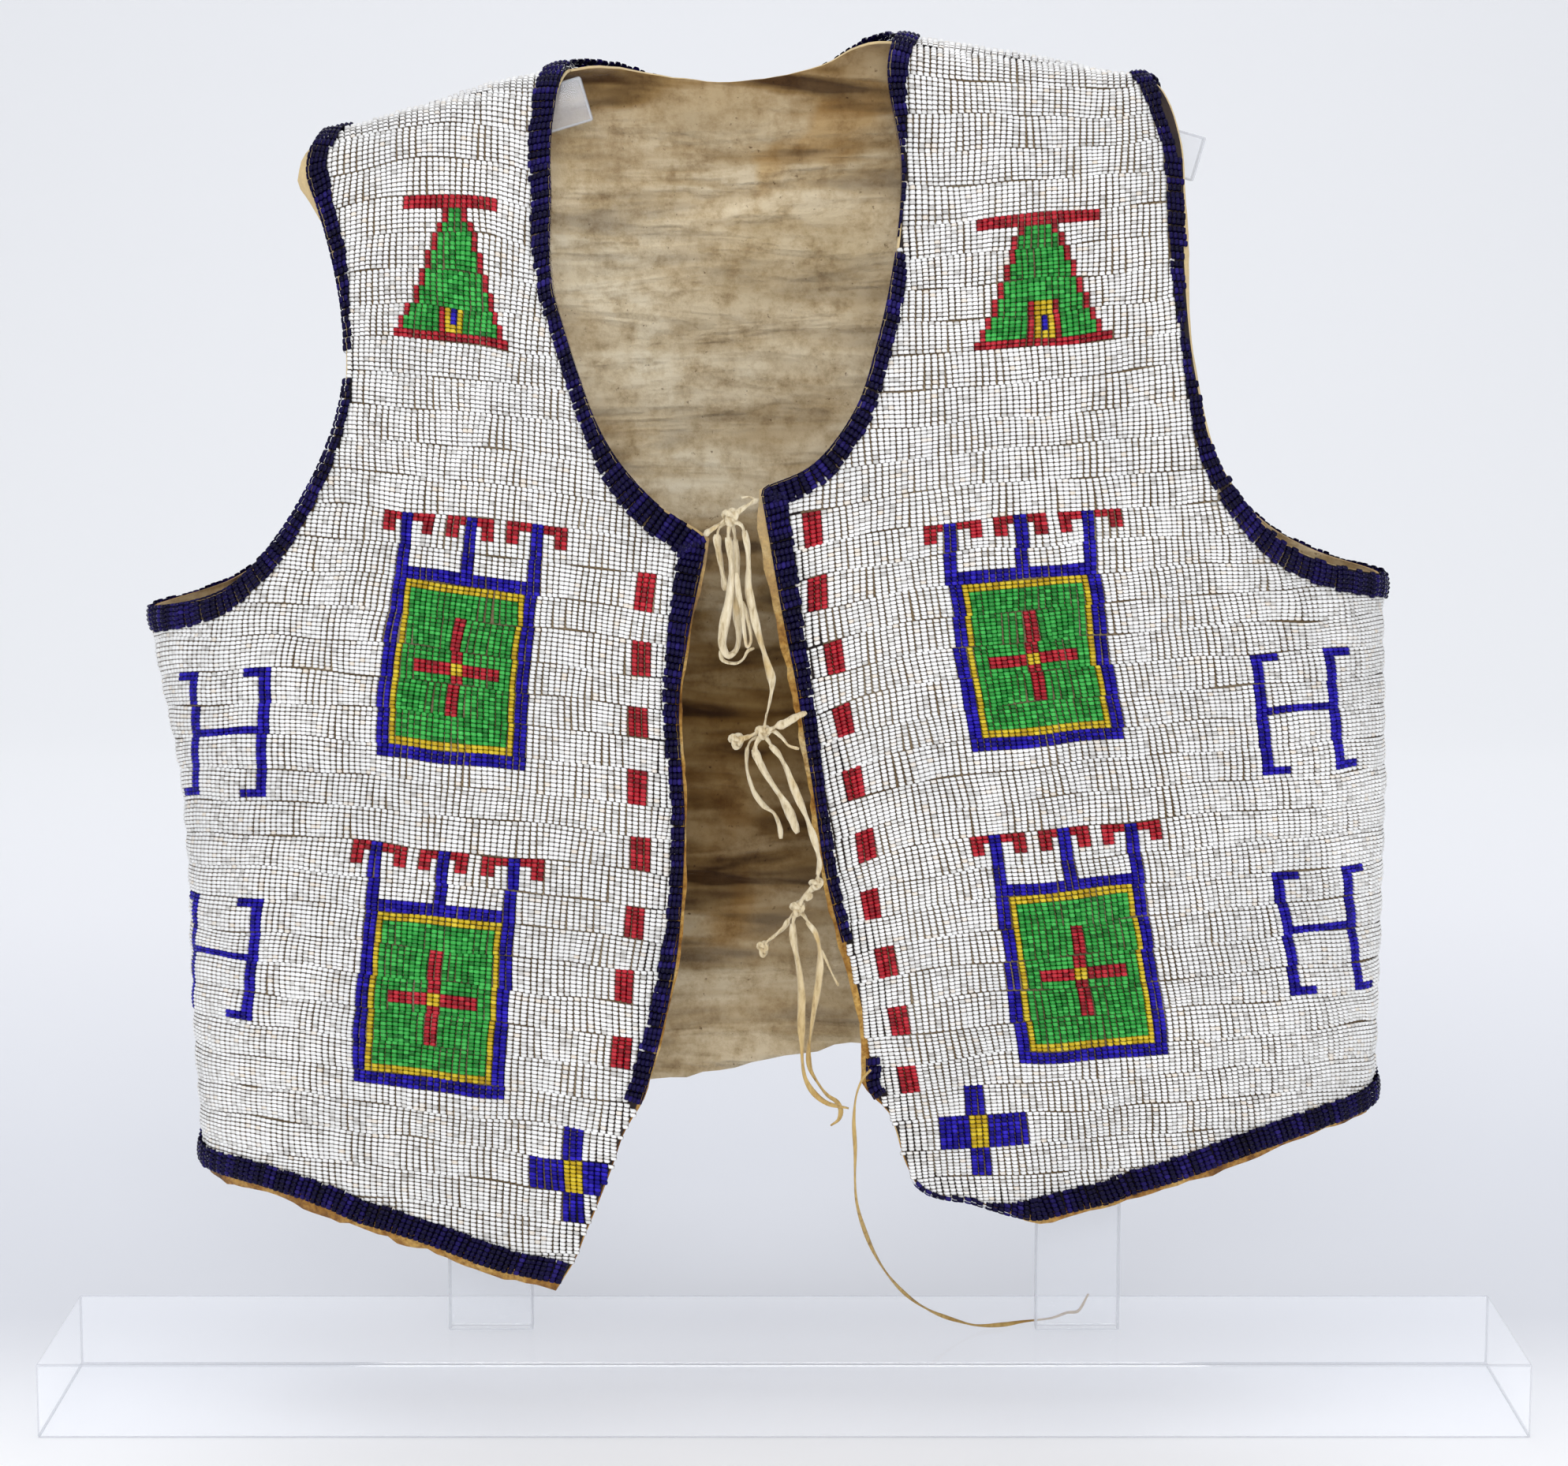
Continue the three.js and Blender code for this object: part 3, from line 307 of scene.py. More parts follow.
# Where each motif's own corner lies: its top lane and its column 0.
MOTIF_COLUMNS = ("chart", "lane", "column")
RIGHT_MOTIFS = named(MOTIF_COLUMNS, [
    (RIGHT_TIPI, 0, 8),
    (BOX + HOOKS, 9, 0),
    (BOX + HOOKS, 19, 0),
    (h_chart((-21, -35), 31, -4), 14, 0),
    (h_chart((-20, -34), 31, -4), 21, 0),
    (cross_chart(3, 5, 4), 27, 33),
])
LEFT_MOTIFS = named(MOTIF_COLUMNS, [
    (LEFT_TIPI, 0, 17),
    (BOX + HOOKS, 9, 0),
    (BOX + HOOKS, 19, 0),
    (h_chart((46, 59), 31, 4), 14, 0),
    (h_chart((46, 59), 31, 4), 21, 0),
    (cross_chart(3, 5, 6), 27, -9),
])

# Red dashes three columns wide and one lane tall, down each opening: the first lane and the arcs.
DASH = named(CHART_COLUMNS, [(RED, 0, BEADS_PER_LANE, -1, 3)])[0]
RIGHT_DASHES = {"lane": 10, "arcs": [-39.2, -41.1, -44.7, -47.2, -47.8, -50.7, -54.2, -55.8]}
LEFT_DASHES = {"lane": 8, "arcs": [14.7, 18, 21, 22.6, 24.5, 26.6, 28.4, 33.1, 37.5, 40.7]}

# ------------------------------------------------------------------ ties

EVEN = ((0, 1), (1, 1))

# The hide thongs. end is how a cord's far end is held, and piece_of names the cord that a stretch
# too short to be a cord of its own goes with. slim says how a thong narrows: shares of its length
# and of its diameter.
THONGS = named(("name", "diameter", "twist", "end", "piece_of", "slim"), [
    ("tie_top_loop", 3.2, 1.5, "knot", None, EVEN),
    ("tie_top_tail", 2.8, 0.4, None, "tie_top_loop", EVEN),
    ("tie_top_long", 2.9, 1.2, "knot", None, ((0.8, 1), (0.88, 0.5), (1, 0.6))),
    ("tie_middle_leaf", 2.8, 0.2, None, "tie_middle_loop", EVEN),
    ("tie_middle_loop", 3.2, 0.6, "bare", None, EVEN),
    ("tie_middle_strand", 1.9, 1.0, "bare", None, EVEN),
    ("tie_middle_long", 2.6, 1.4, "knot", None, EVEN),
    ("tie_low_link", 2.6, 0.1, None, "tie_middle_long", EVEN),
    ("tie_low_long", 3.2, 1.2, "bare", None, ((0.3, 1), (0.6, 0.65), (0.85, 0.55), (1, 0.6))),
    ("tie_low_strand", 2.6, 1.6, "bare", None, ((0.3, 1), (0.6, 0.7), (0.85, 0.6), (1, 0.65))),
    ("tie_low_tail", 2.0, 0.3, None, "tie_low_long", EVEN),
    ("thong_loose", 1.4, 3.0, "bare", None, EVEN),
])

# Each thong's route, from where it leaves its knot.
ROUTES = {
    "tie_top_loop": [
        (-17.8, -65.4, 304.8), (-16.9, -65.6, 298.3), (-16.8, -65.6, 291.5), (-17.6, -65.4, 284.0),
        (-19.2, -65.2, 275.5), (-19.6, -64.8, 270.0), (-17.8, -63.6, 266.8), (-15.2, -62.0, 268.6),
        (-14.4, -61.2, 274.6), (-15.1, -60.8, 282.2), (-15.2, -60.8, 290.4), (-15.6, -60.9, 303.6),
    ],
    "tie_top_tail": [
        (-21.4, -63.6, 305.6), (-20.9, -63.6, 300.6), (-20.1, -63.4, 296.0), (-19.2, -62.6, 290.6),
        (-18.8, -62.2, 287.4),
    ],
    "tie_top_long": [
        (-12.6, -64.8, 306.8), (-11.6, -65.6, 301.6), (-11.3, -66.0, 295.6), (-11.4, -66.0, 289.5),
        (-9.9, -66.0, 281.2), (-7.8, -65.8, 272.8), (-5.3, -65.6, 264.4), (-3.8, -65.4, 258.2),
        (-4.4, -65.3, 253.0), (-5.6, -65.2, 247.6),
    ],
    "tie_middle_leaf": [
        (-2.6, -66.2, 244.2), (0.2, -66.6, 245.2), (3.6, -66.6, 247.2), (7.2, -66.2, 248.7),
    ],
    "tie_middle_loop": [
        (-9.6, -65.2, 236.8), (-8.2, -65.8, 233.4), (-6.2, -66.0, 229.4), (-3.4, -66.0, 225.0),
        (-0.6, -65.8, 220.8), (1.8, -65.6, 216.2), (4.4, -65.4, 209.6),
    ],
    "tie_middle_strand": [
        (-11.8, -62.6, 236.9), (-12.0, -62.0, 230.8), (-10.8, -61.6, 225.2), (-9.2, -61.6, 221.4),
        (-6.4, -61.8, 217.8), (-3.2, -62.0, 215.4), (-1.4, -62.2, 211.0), (-1.0, -62.2, 207.2),
    ],
    "tie_middle_long": [
        (-4.4, -64.6, 237.9), (-2.0, -65.2, 235.4), (0.6, -65.6, 230.8), (2.4, -66.0, 226.2),
        (4.4, -66.4, 221.4), (6.6, -66.6, 216.4), (8.8, -66.8, 210.4), (10.6, -66.8, 204.4),
        (11.4, -66.6, 199.6), (10.8, -66.0, 196.0),
    ],
    "tie_low_link": [
        (8.7, -65.0, 189.9), (7.0, -64.8, 187.5),
    ],
    "tie_low_long": [
        (2.8, -65.6, 180.0), (3.0, -66.0, 175.4), (4.6, -66.0, 166.4), (5.6, -65.8, 157.3),
        (5.6, -65.6, 148.4), (5.8, -65.4, 140.2), (6.0, -65.2, 134.0), (7.0, -64.8, 128.6),
        (9.6, -64.4, 124.0), (14.0, -64.0, 120.4), (21.0, -63.6, 118.6),
    ],
    "tie_low_strand": [
        (7.4, -64.2, 180.4), (10.2, -64.8, 176.6), (11.6, -65.2, 169.8), (11.2, -65.2, 161.2),
        (9.8, -65.0, 152.0), (8.9, -64.2, 145.4), (8.0, -62.6, 138.6), (8.4, -62.0, 131.7),
        (11.6, -61.4, 125.6), (14.2, -60.8, 122.2), (17.2, -60.4, 120.0), (18.5, -60.3, 117.2),
        (17.8, -60.2, 114.0), (15.2, -60.2, 112.0),
    ],
    "tie_low_tail": [
        (1.6, -62.8, 181.0), (0.2, -62.6, 178.4), (-2.2, -62.6, 176.2), (-4.4, -62.8, 174.4),
    ],
    "thong_loose": [
        (28.2, -62.6, 131.2), (25.6, -63.2, 128.4), (23.6, -63.4, 123.4), (22.7, -63.4, 115.4),
        (23.2, -62.4, 104.4), (23.2, -60.0, 93.0), (23.9, -56.0, 84.9), (26.3, -48.0, 74.5),
        (30.5, -38.0, 62.2), (36.0, -28.0, 51.2), (43.0, -18.5, 41.6), (51.2, -10.0, 34.2),
        (59.4, -4.5, 29.6), (66.4, -1.4, 27.0), (75.6, 1.6, 26.4), (82.4, 5.2, 26.4),
        (92.8, 8.8, 26.6), (98.6, 12.0, 27.6), (102.0, 12.6, 27.8), (105.8, 13.0, 34.0),
    ],
}

# Knots in the thongs. strands are the short stretches that leave each one, or hang from it: how
# wide, and the route.
KNOTS = named(("name", "at", "size", "cord", "strands"), [
    ("tie_top_knot", (-17.0, -63.8, 310.9), (2.7, 2.6, 3.1), "tie_top_loop", [
        (2.2, [(-25.4, -61.5, 305.2), (-22.5, -63.6, 307.4), (-17.8, -64.2, 310.4)]),
        (2.4, [(-16.4, -64.2, 311.2), (-12.6, -63.6, 314.2), (-8.2, -61.0, 316.4)]),
        (1.2, [(-9.0, -61.6, 316.2), (-11.2, -62.6, 317.4), (-13.6, -63.2, 317.2)]),
        (1.9, [(-17.2, -64.6, 310.0), (-17.6, -65.4, 306.6), (-17.8, -65.4, 302.8)]),
        (1.7, [(-16.6, -62.6, 309.4), (-15.8, -61.4, 305.8), (-15.6, -60.9, 302.2)]),
        (1.5, [(-17.8, -63.6, 309.6), (-20.6, -63.6, 307.6), (-21.4, -63.6, 304.0)]),
        (1.8, [(-16.2, -64.4, 309.8), (-13.6, -64.8, 308.6), (-12.3, -65.0, 305.0)]),
        (2.0, [
            (-15.1, -66.6, 293.7), (-14.4, -66.8, 287.2), (-13.3, -66.8, 281.4),
            (-12.6, -66.6, 274.2), (-11.7, -66.2, 269.7), (-10.6, -65.6, 271.3),
            (-11.3, -65.2, 277.8), (-13.3, -65.2, 284.3),
        ]),
        (1.5, [
            (-20.4, -64.0, 268.4), (-19.5, -63.6, 265.2), (-15.1, -63.2, 264.2),
            (-12.9, -63.2, 265.7), (-11.5, -63.4, 268.2), (-9.5, -63.6, 269.1),
        ]),
    ]),
    ("tie_middle_knot", (-6.6, -64.2, 242.0), (2.5, 2.3, 2.3), "tie_middle_loop", [
        (1.1, [(-6.4, -64.6, 243.0), (-6.0, -65.0, 245.6), (-5.5, -65.2, 248.6)]),
        (1.8, [(-6.2, -64.8, 242.4), (-4.2, -65.6, 243.3), (-1.6, -66.3, 244.7)]),
        (2.3, [(-7.2, -64.8, 241.0), (-8.8, -65.2, 238.8), (-9.5, -65.4, 235.8)]),
        (1.3, [(-8.0, -63.8, 240.8), (-10.8, -62.9, 239.0), (-12.0, -62.5, 235.8)]),
        (1.8, [(-6.0, -64.6, 240.8), (-4.8, -64.7, 239.0), (-3.8, -64.8, 237.0)]),
        (2.2, [(-14.8, -63.4, 239.4), (-11.5, -63.8, 240.5), (-7.9, -64.0, 242.0)]),
        (1.6, [
            (-5.4, -64.6, 242.2), (-3.5, -65.2, 242.7), (-0.7, -65.6, 240.5), (1.5, -66.0, 238.0),
            (4.8, -66.0, 236.9),
        ]),
    ]),
    ("tie_middle_bead", (-15.2, -63.2, 239.0), (2.5, 2.4, 2.7), "tie_middle_loop", []),
    ("tie_low_end", (10.4, -65.0, 192.8), (2.4, 2.2, 1.9), "tie_middle_long", [
        (2.4, [(10.2, -65.2, 192.4), (6.6, -65.0, 188.9), (4.4, -64.6, 185.4)]),
        (1.7, [(10.4, -65.2, 193.2), (10.9, -65.9, 195.2), (11.0, -66.2, 197.6)]),
    ]),
    ("tie_low_knot", (4.4, -64.3, 184.6), (2.5, 2.4, 2.5), "tie_low_long", [
        (2.0, [(4.2, -64.8, 184.0), (3.1, -65.5, 181.6), (2.8, -65.8, 178.2)]),
        (1.7, [(5.0, -64.4, 184.0), (6.8, -64.3, 181.8), (8.4, -64.5, 179.2)]),
        (1.5, [(3.8, -63.8, 183.8), (2.4, -63.0, 182.0), (0.8, -62.7, 179.6)]),
        (1.5, [(-3.6, -62.8, 175.0), (-5.2, -62.8, 173.8), (-6.6, -62.8, 172.2)]),
        (1.1, [
            (11.8, -65.4, 171.6), (13.6, -65.6, 168.0), (15.4, -65.4, 163.8), (17.6, -64.6, 159.3),
        ]),
    ]),
    ("tie_low_bead", (-6.8, -62.8, 171.2), (1.9, 1.9, 2.8), "tie_low_long", []),
])

# ------------------------------------------------------------------ the vest's form


def read(table, by, column, at):
    """A table's column as a smooth curve through its rows, held level beyond both ends."""
    xs = np.array([row[by] for row in table], float)
    ys = np.array([row[column] for row in table], float)
    at = np.clip(np.asarray(at, float), xs[0], xs[-1])
    k = np.clip(np.searchsorted(xs, at, side="right") - 1, 0, len(xs) - 2)
    low = np.maximum(np.arange(len(xs)) - 1, 0)
    high = np.minimum(np.arange(len(xs)) + 1, len(xs) - 1)
    slopes = (ys[high] - ys[low]) / (xs[high] - xs[low])
    step = xs[k + 1] - xs[k]
    t = (at - xs[k]) / step
    rise = ys[k + 1] - ys[k]
    bend_in = slopes[k] * step - rise
    bend_out = rise - slopes[k + 1] * step
    return ys[k] + t * rise + t * (1 - t) * ((1 - t) * bend_in + t * bend_out)


def body_at(z):
    left = read(GIRTH, "z", "left", z)
    right = read(GIRTH, "z", "right", z)
    return (left + right) / 2, (right - left) / 2, read(GIRTH, "z", "depth", z)


CHEST_MIDDLE, CHEST_HALF, CHEST_DEPTH = (float(value) for value in body_at(GIRTH[-1]["z"]))
ARC_STEPS = 360
TURNS = np.linspace(0, math.pi / 2, ARC_STEPS + 1)
_between = (TURNS[1:] + TURNS[:-1]) / 2
_paces = np.hypot(CHEST_HALF * np.cos(_between), CHEST_DEPTH * np.sin(_between)) * TURNS[1]
ARCS = np.concatenate([[0], np.cumsum(_paces)])
QUARTER_ARC = float(ARCS[-1])
ROLL_DROP = SHOULDER_ROLL * math.pi / 2
PROBE = 0.05


def turn_of(arc):
    return np.sign(arc) * np.interp(np.abs(arc), ARCS, TURNS)


def ridge_at(turn):
    return read(RIDGE, "x", "z", CHEST_MIDDLE + CHEST_HALF * np.sin(turn))


def chart(x, z):
    """The chart points that are seen at (x, z) from the front or the back."""
    middle, half, _ = body_at(z)
    turn = np.arcsin(np.clip((x - middle) / half, -1, 1))
    fall = np.maximum(ridge_at(turn) - z, 0)
    on_roll = SHOULDER_ROLL * np.arccos(np.clip(1 - fall / SHOULDER_ROLL, -1, 1))
    drop = np.where(fall < SHOULDER_ROLL, on_roll, ROLL_DROP + fall - SHOULDER_ROLL)
    arc = np.sign(turn) * np.interp(np.abs(turn), TURNS, ARCS)
    return np.stack([arc, drop], axis=-1)


def form(arc, drop, side):
    """The smooth form at chart points, before folds."""
    turn = turn_of(arc)
    rolled = np.minimum(drop / SHOULDER_ROLL, math.pi / 2)
    fall = SHOULDER_ROLL * (1 - np.cos(rolled)) + np.maximum(drop - ROLL_DROP, 0)
    z = ridge_at(turn) - fall
    middle, half, depth = body_at(z)
    full = depth * np.cos(turn)
    roll = SHOULDER_ROLL * full / np.hypot(SHOULDER_ROLL, full)
    opened = np.clip(fall / SHOULDER_FALL, 0, 1)
    opened = opened * opened * (3 - 2 * opened)
    out = roll * np.sin(rolled) + (full - roll) * opened + SEAM_HALF_GAP
    away = -1 if side == "front" else 1
    return np.stack([middle + half * np.sin(turn), away * out, z], axis=-1)


def fold_height(arc, drop, side):
    total = np.zeros(np.shape(arc))
    for fold in FOLDS:
        if fold["side"] != side:
            continue
        centre = chart(np.array(fold["x"], float), np.array(fold["z"], float))
        lean = math.radians(fold["lean"])
        across = arc - centre[0]
        down = drop - centre[1]
        along = np.abs(across * math.sin(lean) + down * math.cos(lean)) / (fold["length"] / 2)
        off = (across * math.cos(lean) - down * math.sin(lean)) / fold["width"]
        shape = np.cos(np.minimum(along, 1) * math.pi / 2) ** 2 * np.exp(-off * off)
        total += fold["height"] * shape
    return total


def surface(points, side):
    """Chart points on the vest's outer surface: where they are and which way is out."""
    arc = np.clip(points[..., 0], -QUARTER_ARC, QUARTER_ARC)
    drop = np.maximum(points[..., 1], 0)
    inward = np.where(arc > 0, -PROBE, PROBE)
    here = form(arc, drop, side)
    beside = (form(arc + inward, drop, side) - here) / inward[..., None]
    below = (form(arc, drop + PROBE, side) - here) / PROBE
    out = np.cross(beside, below)
    if side == "front":
        out = -out
    on_seam = (drop < PROBE) | (np.abs(arc) > QUARTER_ARC - PROBE)
    out[..., 1] = np.where(on_seam, 0, out[..., 1])
    out /= np.linalg.norm(out, axis=-1, keepdims=True)
    lift = np.where(on_seam, 0, fold_height(arc, drop, side))
    return here + out * lift[..., None], out


# ------------------------------------------------------------------ lines on the chart

LINE_STEP = 1.0


def blend(t, start, end, first, last):
    return (end - t) / (end - start) * first + (t - start) / (end - start) * last


def smooth_line(points, step=LINE_STEP):
    """Points a step apart along a smooth curve through the given ones."""
    points = np.asarray(points, float)
    ends = [2 * points[0] - points[1], *points, 2 * points[-1] - points[-2]]
    pieces = []
    for a, b, c, d in zip(ends, ends[1:], ends[2:], ends[3:]):
        gaps = [max(np.linalg.norm(q - p), 1e-6) ** 0.5 for p, q in ((a, b), (b, c), (c, d))]
        t0, t1, t2, t3 = np.cumsum([0.0, *gaps])
        count = max(int(np.linalg.norm(c - b) / step), 2)
        t = np.linspace(t1, t2, count, endpoint=False)[:, None]
        ab, bc, cd = blend(t, t0, t1, a, b), blend(t, t1, t2, b, c), blend(t, t2, t3, c, d)
        pieces.append(blend(t, t1, t2, blend(t, t0, t2, ab, bc), blend(t, t1, t3, bc, cd)))
    return np.concatenate([*pieces, points[-1:]])


def chart_line(table):
    rows = np.array(table, float)
    return smooth_line(chart(rows[:, 0], rows[:, 1]))


def resampled(line, count):
    """A line as so many evenly spaced points."""
    travelled = np.concatenate([[0], np.cumsum(np.linalg.norm(np.diff(line, axis=0), axis=1))])
    places = np.linspace(0, travelled[-1], count)
    return np.stack([np.interp(places, travelled, values) for values in line.T], axis=1)


def nearest_on(points, line):
    """How far each point is from a line of many short steps, and the number of the nearest step."""
    least = np.full(len(points), np.inf)
    number = np.zeros(len(points), int)
    for k, (a, b) in enumerate(zip(line[:-1], line[1:])):
        step = b - a
        part = np.clip(((points - a) @ step) / max(step @ step, 1e-9), 0, 1)
        gap = points - a - part[:, None] * step
        square = np.einsum("ij,ij->i", gap, gap)
        closer = square < least
        least[closer] = square[closer]
        number[closer] = k
    return np.sqrt(least), number


def inside(points, outline):
    """Which points lie inside a closed outline."""
    found = np.zeros(len(points), bool)
    for a, b in zip(outline, np.roll(outline, -1, axis=0)):
        crosses = (a[1] > points[:, 1]) != (b[1] > points[:, 1])
        if not crosses.any():
            continue
        at = a[0] + (points[:, 1] - a[1]) * (b[0] - a[0]) / (b[1] - a[1] if b[1] != a[1] else 1)
        found ^= crosses & (points[:, 0] < at)
    return found


# ------------------------------------------------------------------ panels and their edges

TOP = 500.0

PANELS = {
    "front_right": {
        "side": "front", "grain": RIGHT_GRAIN, "motifs": RIGHT_MOTIFS,
        "dashes": RIGHT_DASHES,
        "top": RIGHT_FRONT["shoulder"], "hem": RIGHT_FRONT["hem"],
        "left": (RIGHT_FRONT["armhole"], RIGHT_FRONT["side"]),
        "right": (RIGHT_FRONT["neck"], RIGHT_FRONT["opening"]),
    },
    "front_left": {
        "side": "front", "grain": LEFT_GRAIN, "motifs": LEFT_MOTIFS,
        "dashes": LEFT_DASHES,
        "top": LEFT_FRONT["shoulder"], "hem": LEFT_FRONT["hem"],
        "left": (LEFT_FRONT["neck"], LEFT_FRONT["opening"]),
        "right": (LEFT_FRONT["armhole"], LEFT_FRONT["side"]),
    },
    "back": {
        "side": "back", "grain": BACK_GRAIN, "motifs": [], "dashes": None,
        "top": BACK["shoulder"], "hem": BACK["hem"],
        "left": (BACK["right_armhole"], RIGHT_FRONT["side"]),
        "right": (BACK["left_armhole"], LEFT_FRONT["side"]),
    },
}

# Each edging: its panel, the edge it follows and the heights between which it is kept.
EDGINGS = named(("name", "panel", "edge", "high", "low"), [
    ("edging_armhole_right_upper", "front_right", "left", TOP, 361),
    ("edging_armhole_right_lower", "front_right", "left", 354, 276),
    ("edging_opening_right", "front_right", "right", TOP, 118),
    ("edging_hem_right", "front_right", "hem", TOP, 0),
    ("edging_neck_left", "front_left", "left", TOP, 398),
    ("edging_opening_left", "front_left", "left", 395, 172),
    ("edging_opening_left_low", "front_left", "left", 134.5, 119),
    ("edging_armhole_left", "front_left", "right", TOP, 287),
    ("edging_hem_left", "front_left", "hem", TOP, 0),
    ("edging_armhole_back_right", "back", "left", TOP, 276),
    ("edging_armhole_back_left", "back", "right", TOP, 287),
    ("edging_hem_back", "back", "hem", TOP, 0),
    ("edging_neck_back", "back", "top", TOP, 0),
])

# How much of an edging's width is turned back round its edge, and how much bare hide is left
# outside its rows: by height, or for a hem by x.
TURNED = named_tables(("at", "turned", "bare"), {
    "edging_armhole_right_upper": [
        (361, 6.6, 0), (373, 6.4, 0), (386, 5.0, 0), (397, 4.0, 0), (407, 3.9, 0), (415, 2.6, 0),
        (424, 2.2, 0), (433, 1.5, 0),
    ],
    "edging_armhole_right_lower": [
        (276, 0.6, 0), (290, 1.6, 0), (312, 3.2, 0), (330, 4.6, 0), (354, 6.6, 0),
    ],
    "edging_opening_right": [
        (112, 3.0, 0), (150, 3.4, 0), (200, 5.0, 0), (250, 4.0, 0), (285, 1.6, 0), (303, 0, 0),
        (320, 1.0, 0), (335, 4.0, 0), (362, 5.0, 0), (385, 4.6, 0), (400, 3.0, 0), (415, 2.6, 0),
        (435, 1.8, 0), (460, 1.0, 0),
    ],
    "edging_neck_left": [
        (398, 8.4, 0), (410, 8.2, 0), (427, 7.6, 0), (438, 5.0, 0), (450, 3.0, 0), (465, 1.6, 0),
    ],
    "edging_opening_left": [
        (172, 5.6, 0), (200, 5.4, 0), (250, 4.6, 0), (290, 2.4, 0), (312, 1.6, 0), (320, 1.6, 0),
        (330, 2.4, 0), (350, 3.6, 0), (375, 4.2, 0), (388, 5.0, 0), (395, 6.4, 0),
    ],
    "edging_opening_left_low": [(119, 4.6, 0), (134, 4.6, 0)],
    "edging_armhole_left": [
        (287, 0.2, 0.2), (300, 0.3, 0.2), (320, 1.4, 0.4), (345, 3.4, 1.0), (365, 4.2, 2.0),
        (373, 4.0, 2.1), (385, 3.2, 1.0), (397, 2.8, 0.2), (410, 2.4, 0.8), (421, 1.8, 1.3),
        (440, 0.6, 3.0), (455, 0, 2.6),
    ],
    "edging_hem_right": [(-200, 1.6, 0), (-74, 1.6, 0)],
    "edging_hem_left": [
        (43.5, 7.6, 0), (55, 7.4, 0), (62, 7.2, 0), (67, 6.9, 0), (75, 4.3, 0), (83, 1.8, 0),
        (91, 1.5, 0), (203, 1.5, 0),
    ],
})


def edge_line(panel, edge):
    """An edge of a panel as a chart line, from the top down or from left to right."""
    if edge in ("hem", "top"):
        return chart_line(panel[edge])
    upper, lower = panel[edge]
    return np.concatenate([chart_line(upper)[:-1], chart_line(lower)])


SEAM_CLEARANCE = 0.5


def edging_cover(edging, line):
    """Which points of its edge an edging covers: a stretch between two heights, off the seams."""
    if edging["edge"] == "top":
        neck = chart(*np.array([RIGHT_FRONT["neck"][0], LEFT_FRONT["neck"][0]], float).T)[:, 0]
        return (line[:, 0] > neck[0]) & (line[:, 0] < neck[1])
    heights = surface(line, "front")[0][:, 2]
    covered = (heights <= edging["high"]) & (heights >= edging["low"])
    if edging["edge"] != "hem":
        covered &= np.abs(line[:, 0]) < QUARTER_ARC - SEAM_CLEARANCE
    return covered


def outline_of(panel):
    return np.concatenate([
        edge_line(panel, "top"), edge_line(panel, "right"),
        edge_line(panel, "hem")[::-1], edge_line(panel, "left")[::-1],
    ])


# ------------------------------------------------------------------ mesh making


def make_mesh(name, places, faces, material, uv, tints=None, ends=None):
    """An object from arrays: places in millimetres, faces of four corners, a UV for each place.

    tints has a value for each face, and ends one for each place."""
    places = np.asarray(places, np.float64).reshape(-1, 3) * MM
    faces = np.asarray(faces, np.int32).reshape(-1, 4)
    mesh = bpy.data.meshes.new(name)
    mesh.vertices.add(len(places))
    mesh.vertices.foreach_set("co", places.astype(np.float32).ravel())
    mesh.loops.add(faces.size)
    mesh.loops.foreach_set("vertex_index", faces.ravel())
    mesh.polygons.add(len(faces))
    mesh.polygons.foreach_set("loop_start", np.arange(0, faces.size, 4, dtype=np.int32))
    mesh.polygons.foreach_set("loop_total", np.full(len(faces), 4, np.int32))
    mesh.update(calc_edges=True)
    mesh.polygons.foreach_set("use_smooth", np.ones(len(faces), bool))
    layer = mesh.uv_layers.new(name="OFBake")
    layer.data.foreach_set("uv", np.asarray(uv, np.float32).reshape(-1, 2)[faces.ravel()].ravel())
    if tints is not None:
        attribute = mesh.attributes.new("tint", "FLOAT", "FACE")
        attribute.data.foreach_set("value", np.asarray(tints, np.float32))
    if ends is not None:
        attribute = mesh.attributes.new("end", "FLOAT", "POINT")
        attribute.data.foreach_set("value", np.asarray(ends, np.float32))
    mesh.validate()
    thing = bpy.data.objects.new(name, mesh)
    bpy.context.scene.collection.objects.link(thing)
    thing.data.materials.append(material)
    return thing


def add_piece(thing, slot, *nodes):
    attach(thing, "root")
    if nodes:
        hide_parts(*nodes)
    return thing


CHART_SPAN = 460.0


def chart_uv(points):
    """Chart points laid out flat in the unit square."""
    return np.stack([points[..., 0] / CHART_SPAN + 0.5, 1 - points[..., 1] / CHART_SPAN], axis=-1)


# ------------------------------------------------------------------ beads

# A bead's outer half, as rings along its thread: how wide, how high its crown stands and where.
BEAD_RINGS = named(("at", "width", "crown"), [
    (-0.49, 0.84, -0.42), (0.0, 1.0, 0.0), (0.49, 0.84, -0.42),
])
BEAD_DEPTH = 1.3
CROWN_HALF = 0.31
BEAD_FULLNESS = 1.02


def bead_profile(points_across):
    """Places across a bead's outer half: how far out and whether on the crown or at the foot."""
    if points_across == 4:
        return [(-0.5, 0), (-CROWN_HALF, 1), (CROWN_HALF, 1), (0.5, 0)]
    return [(-0.5, 0), (0.0, 1), (0.5, 0)]


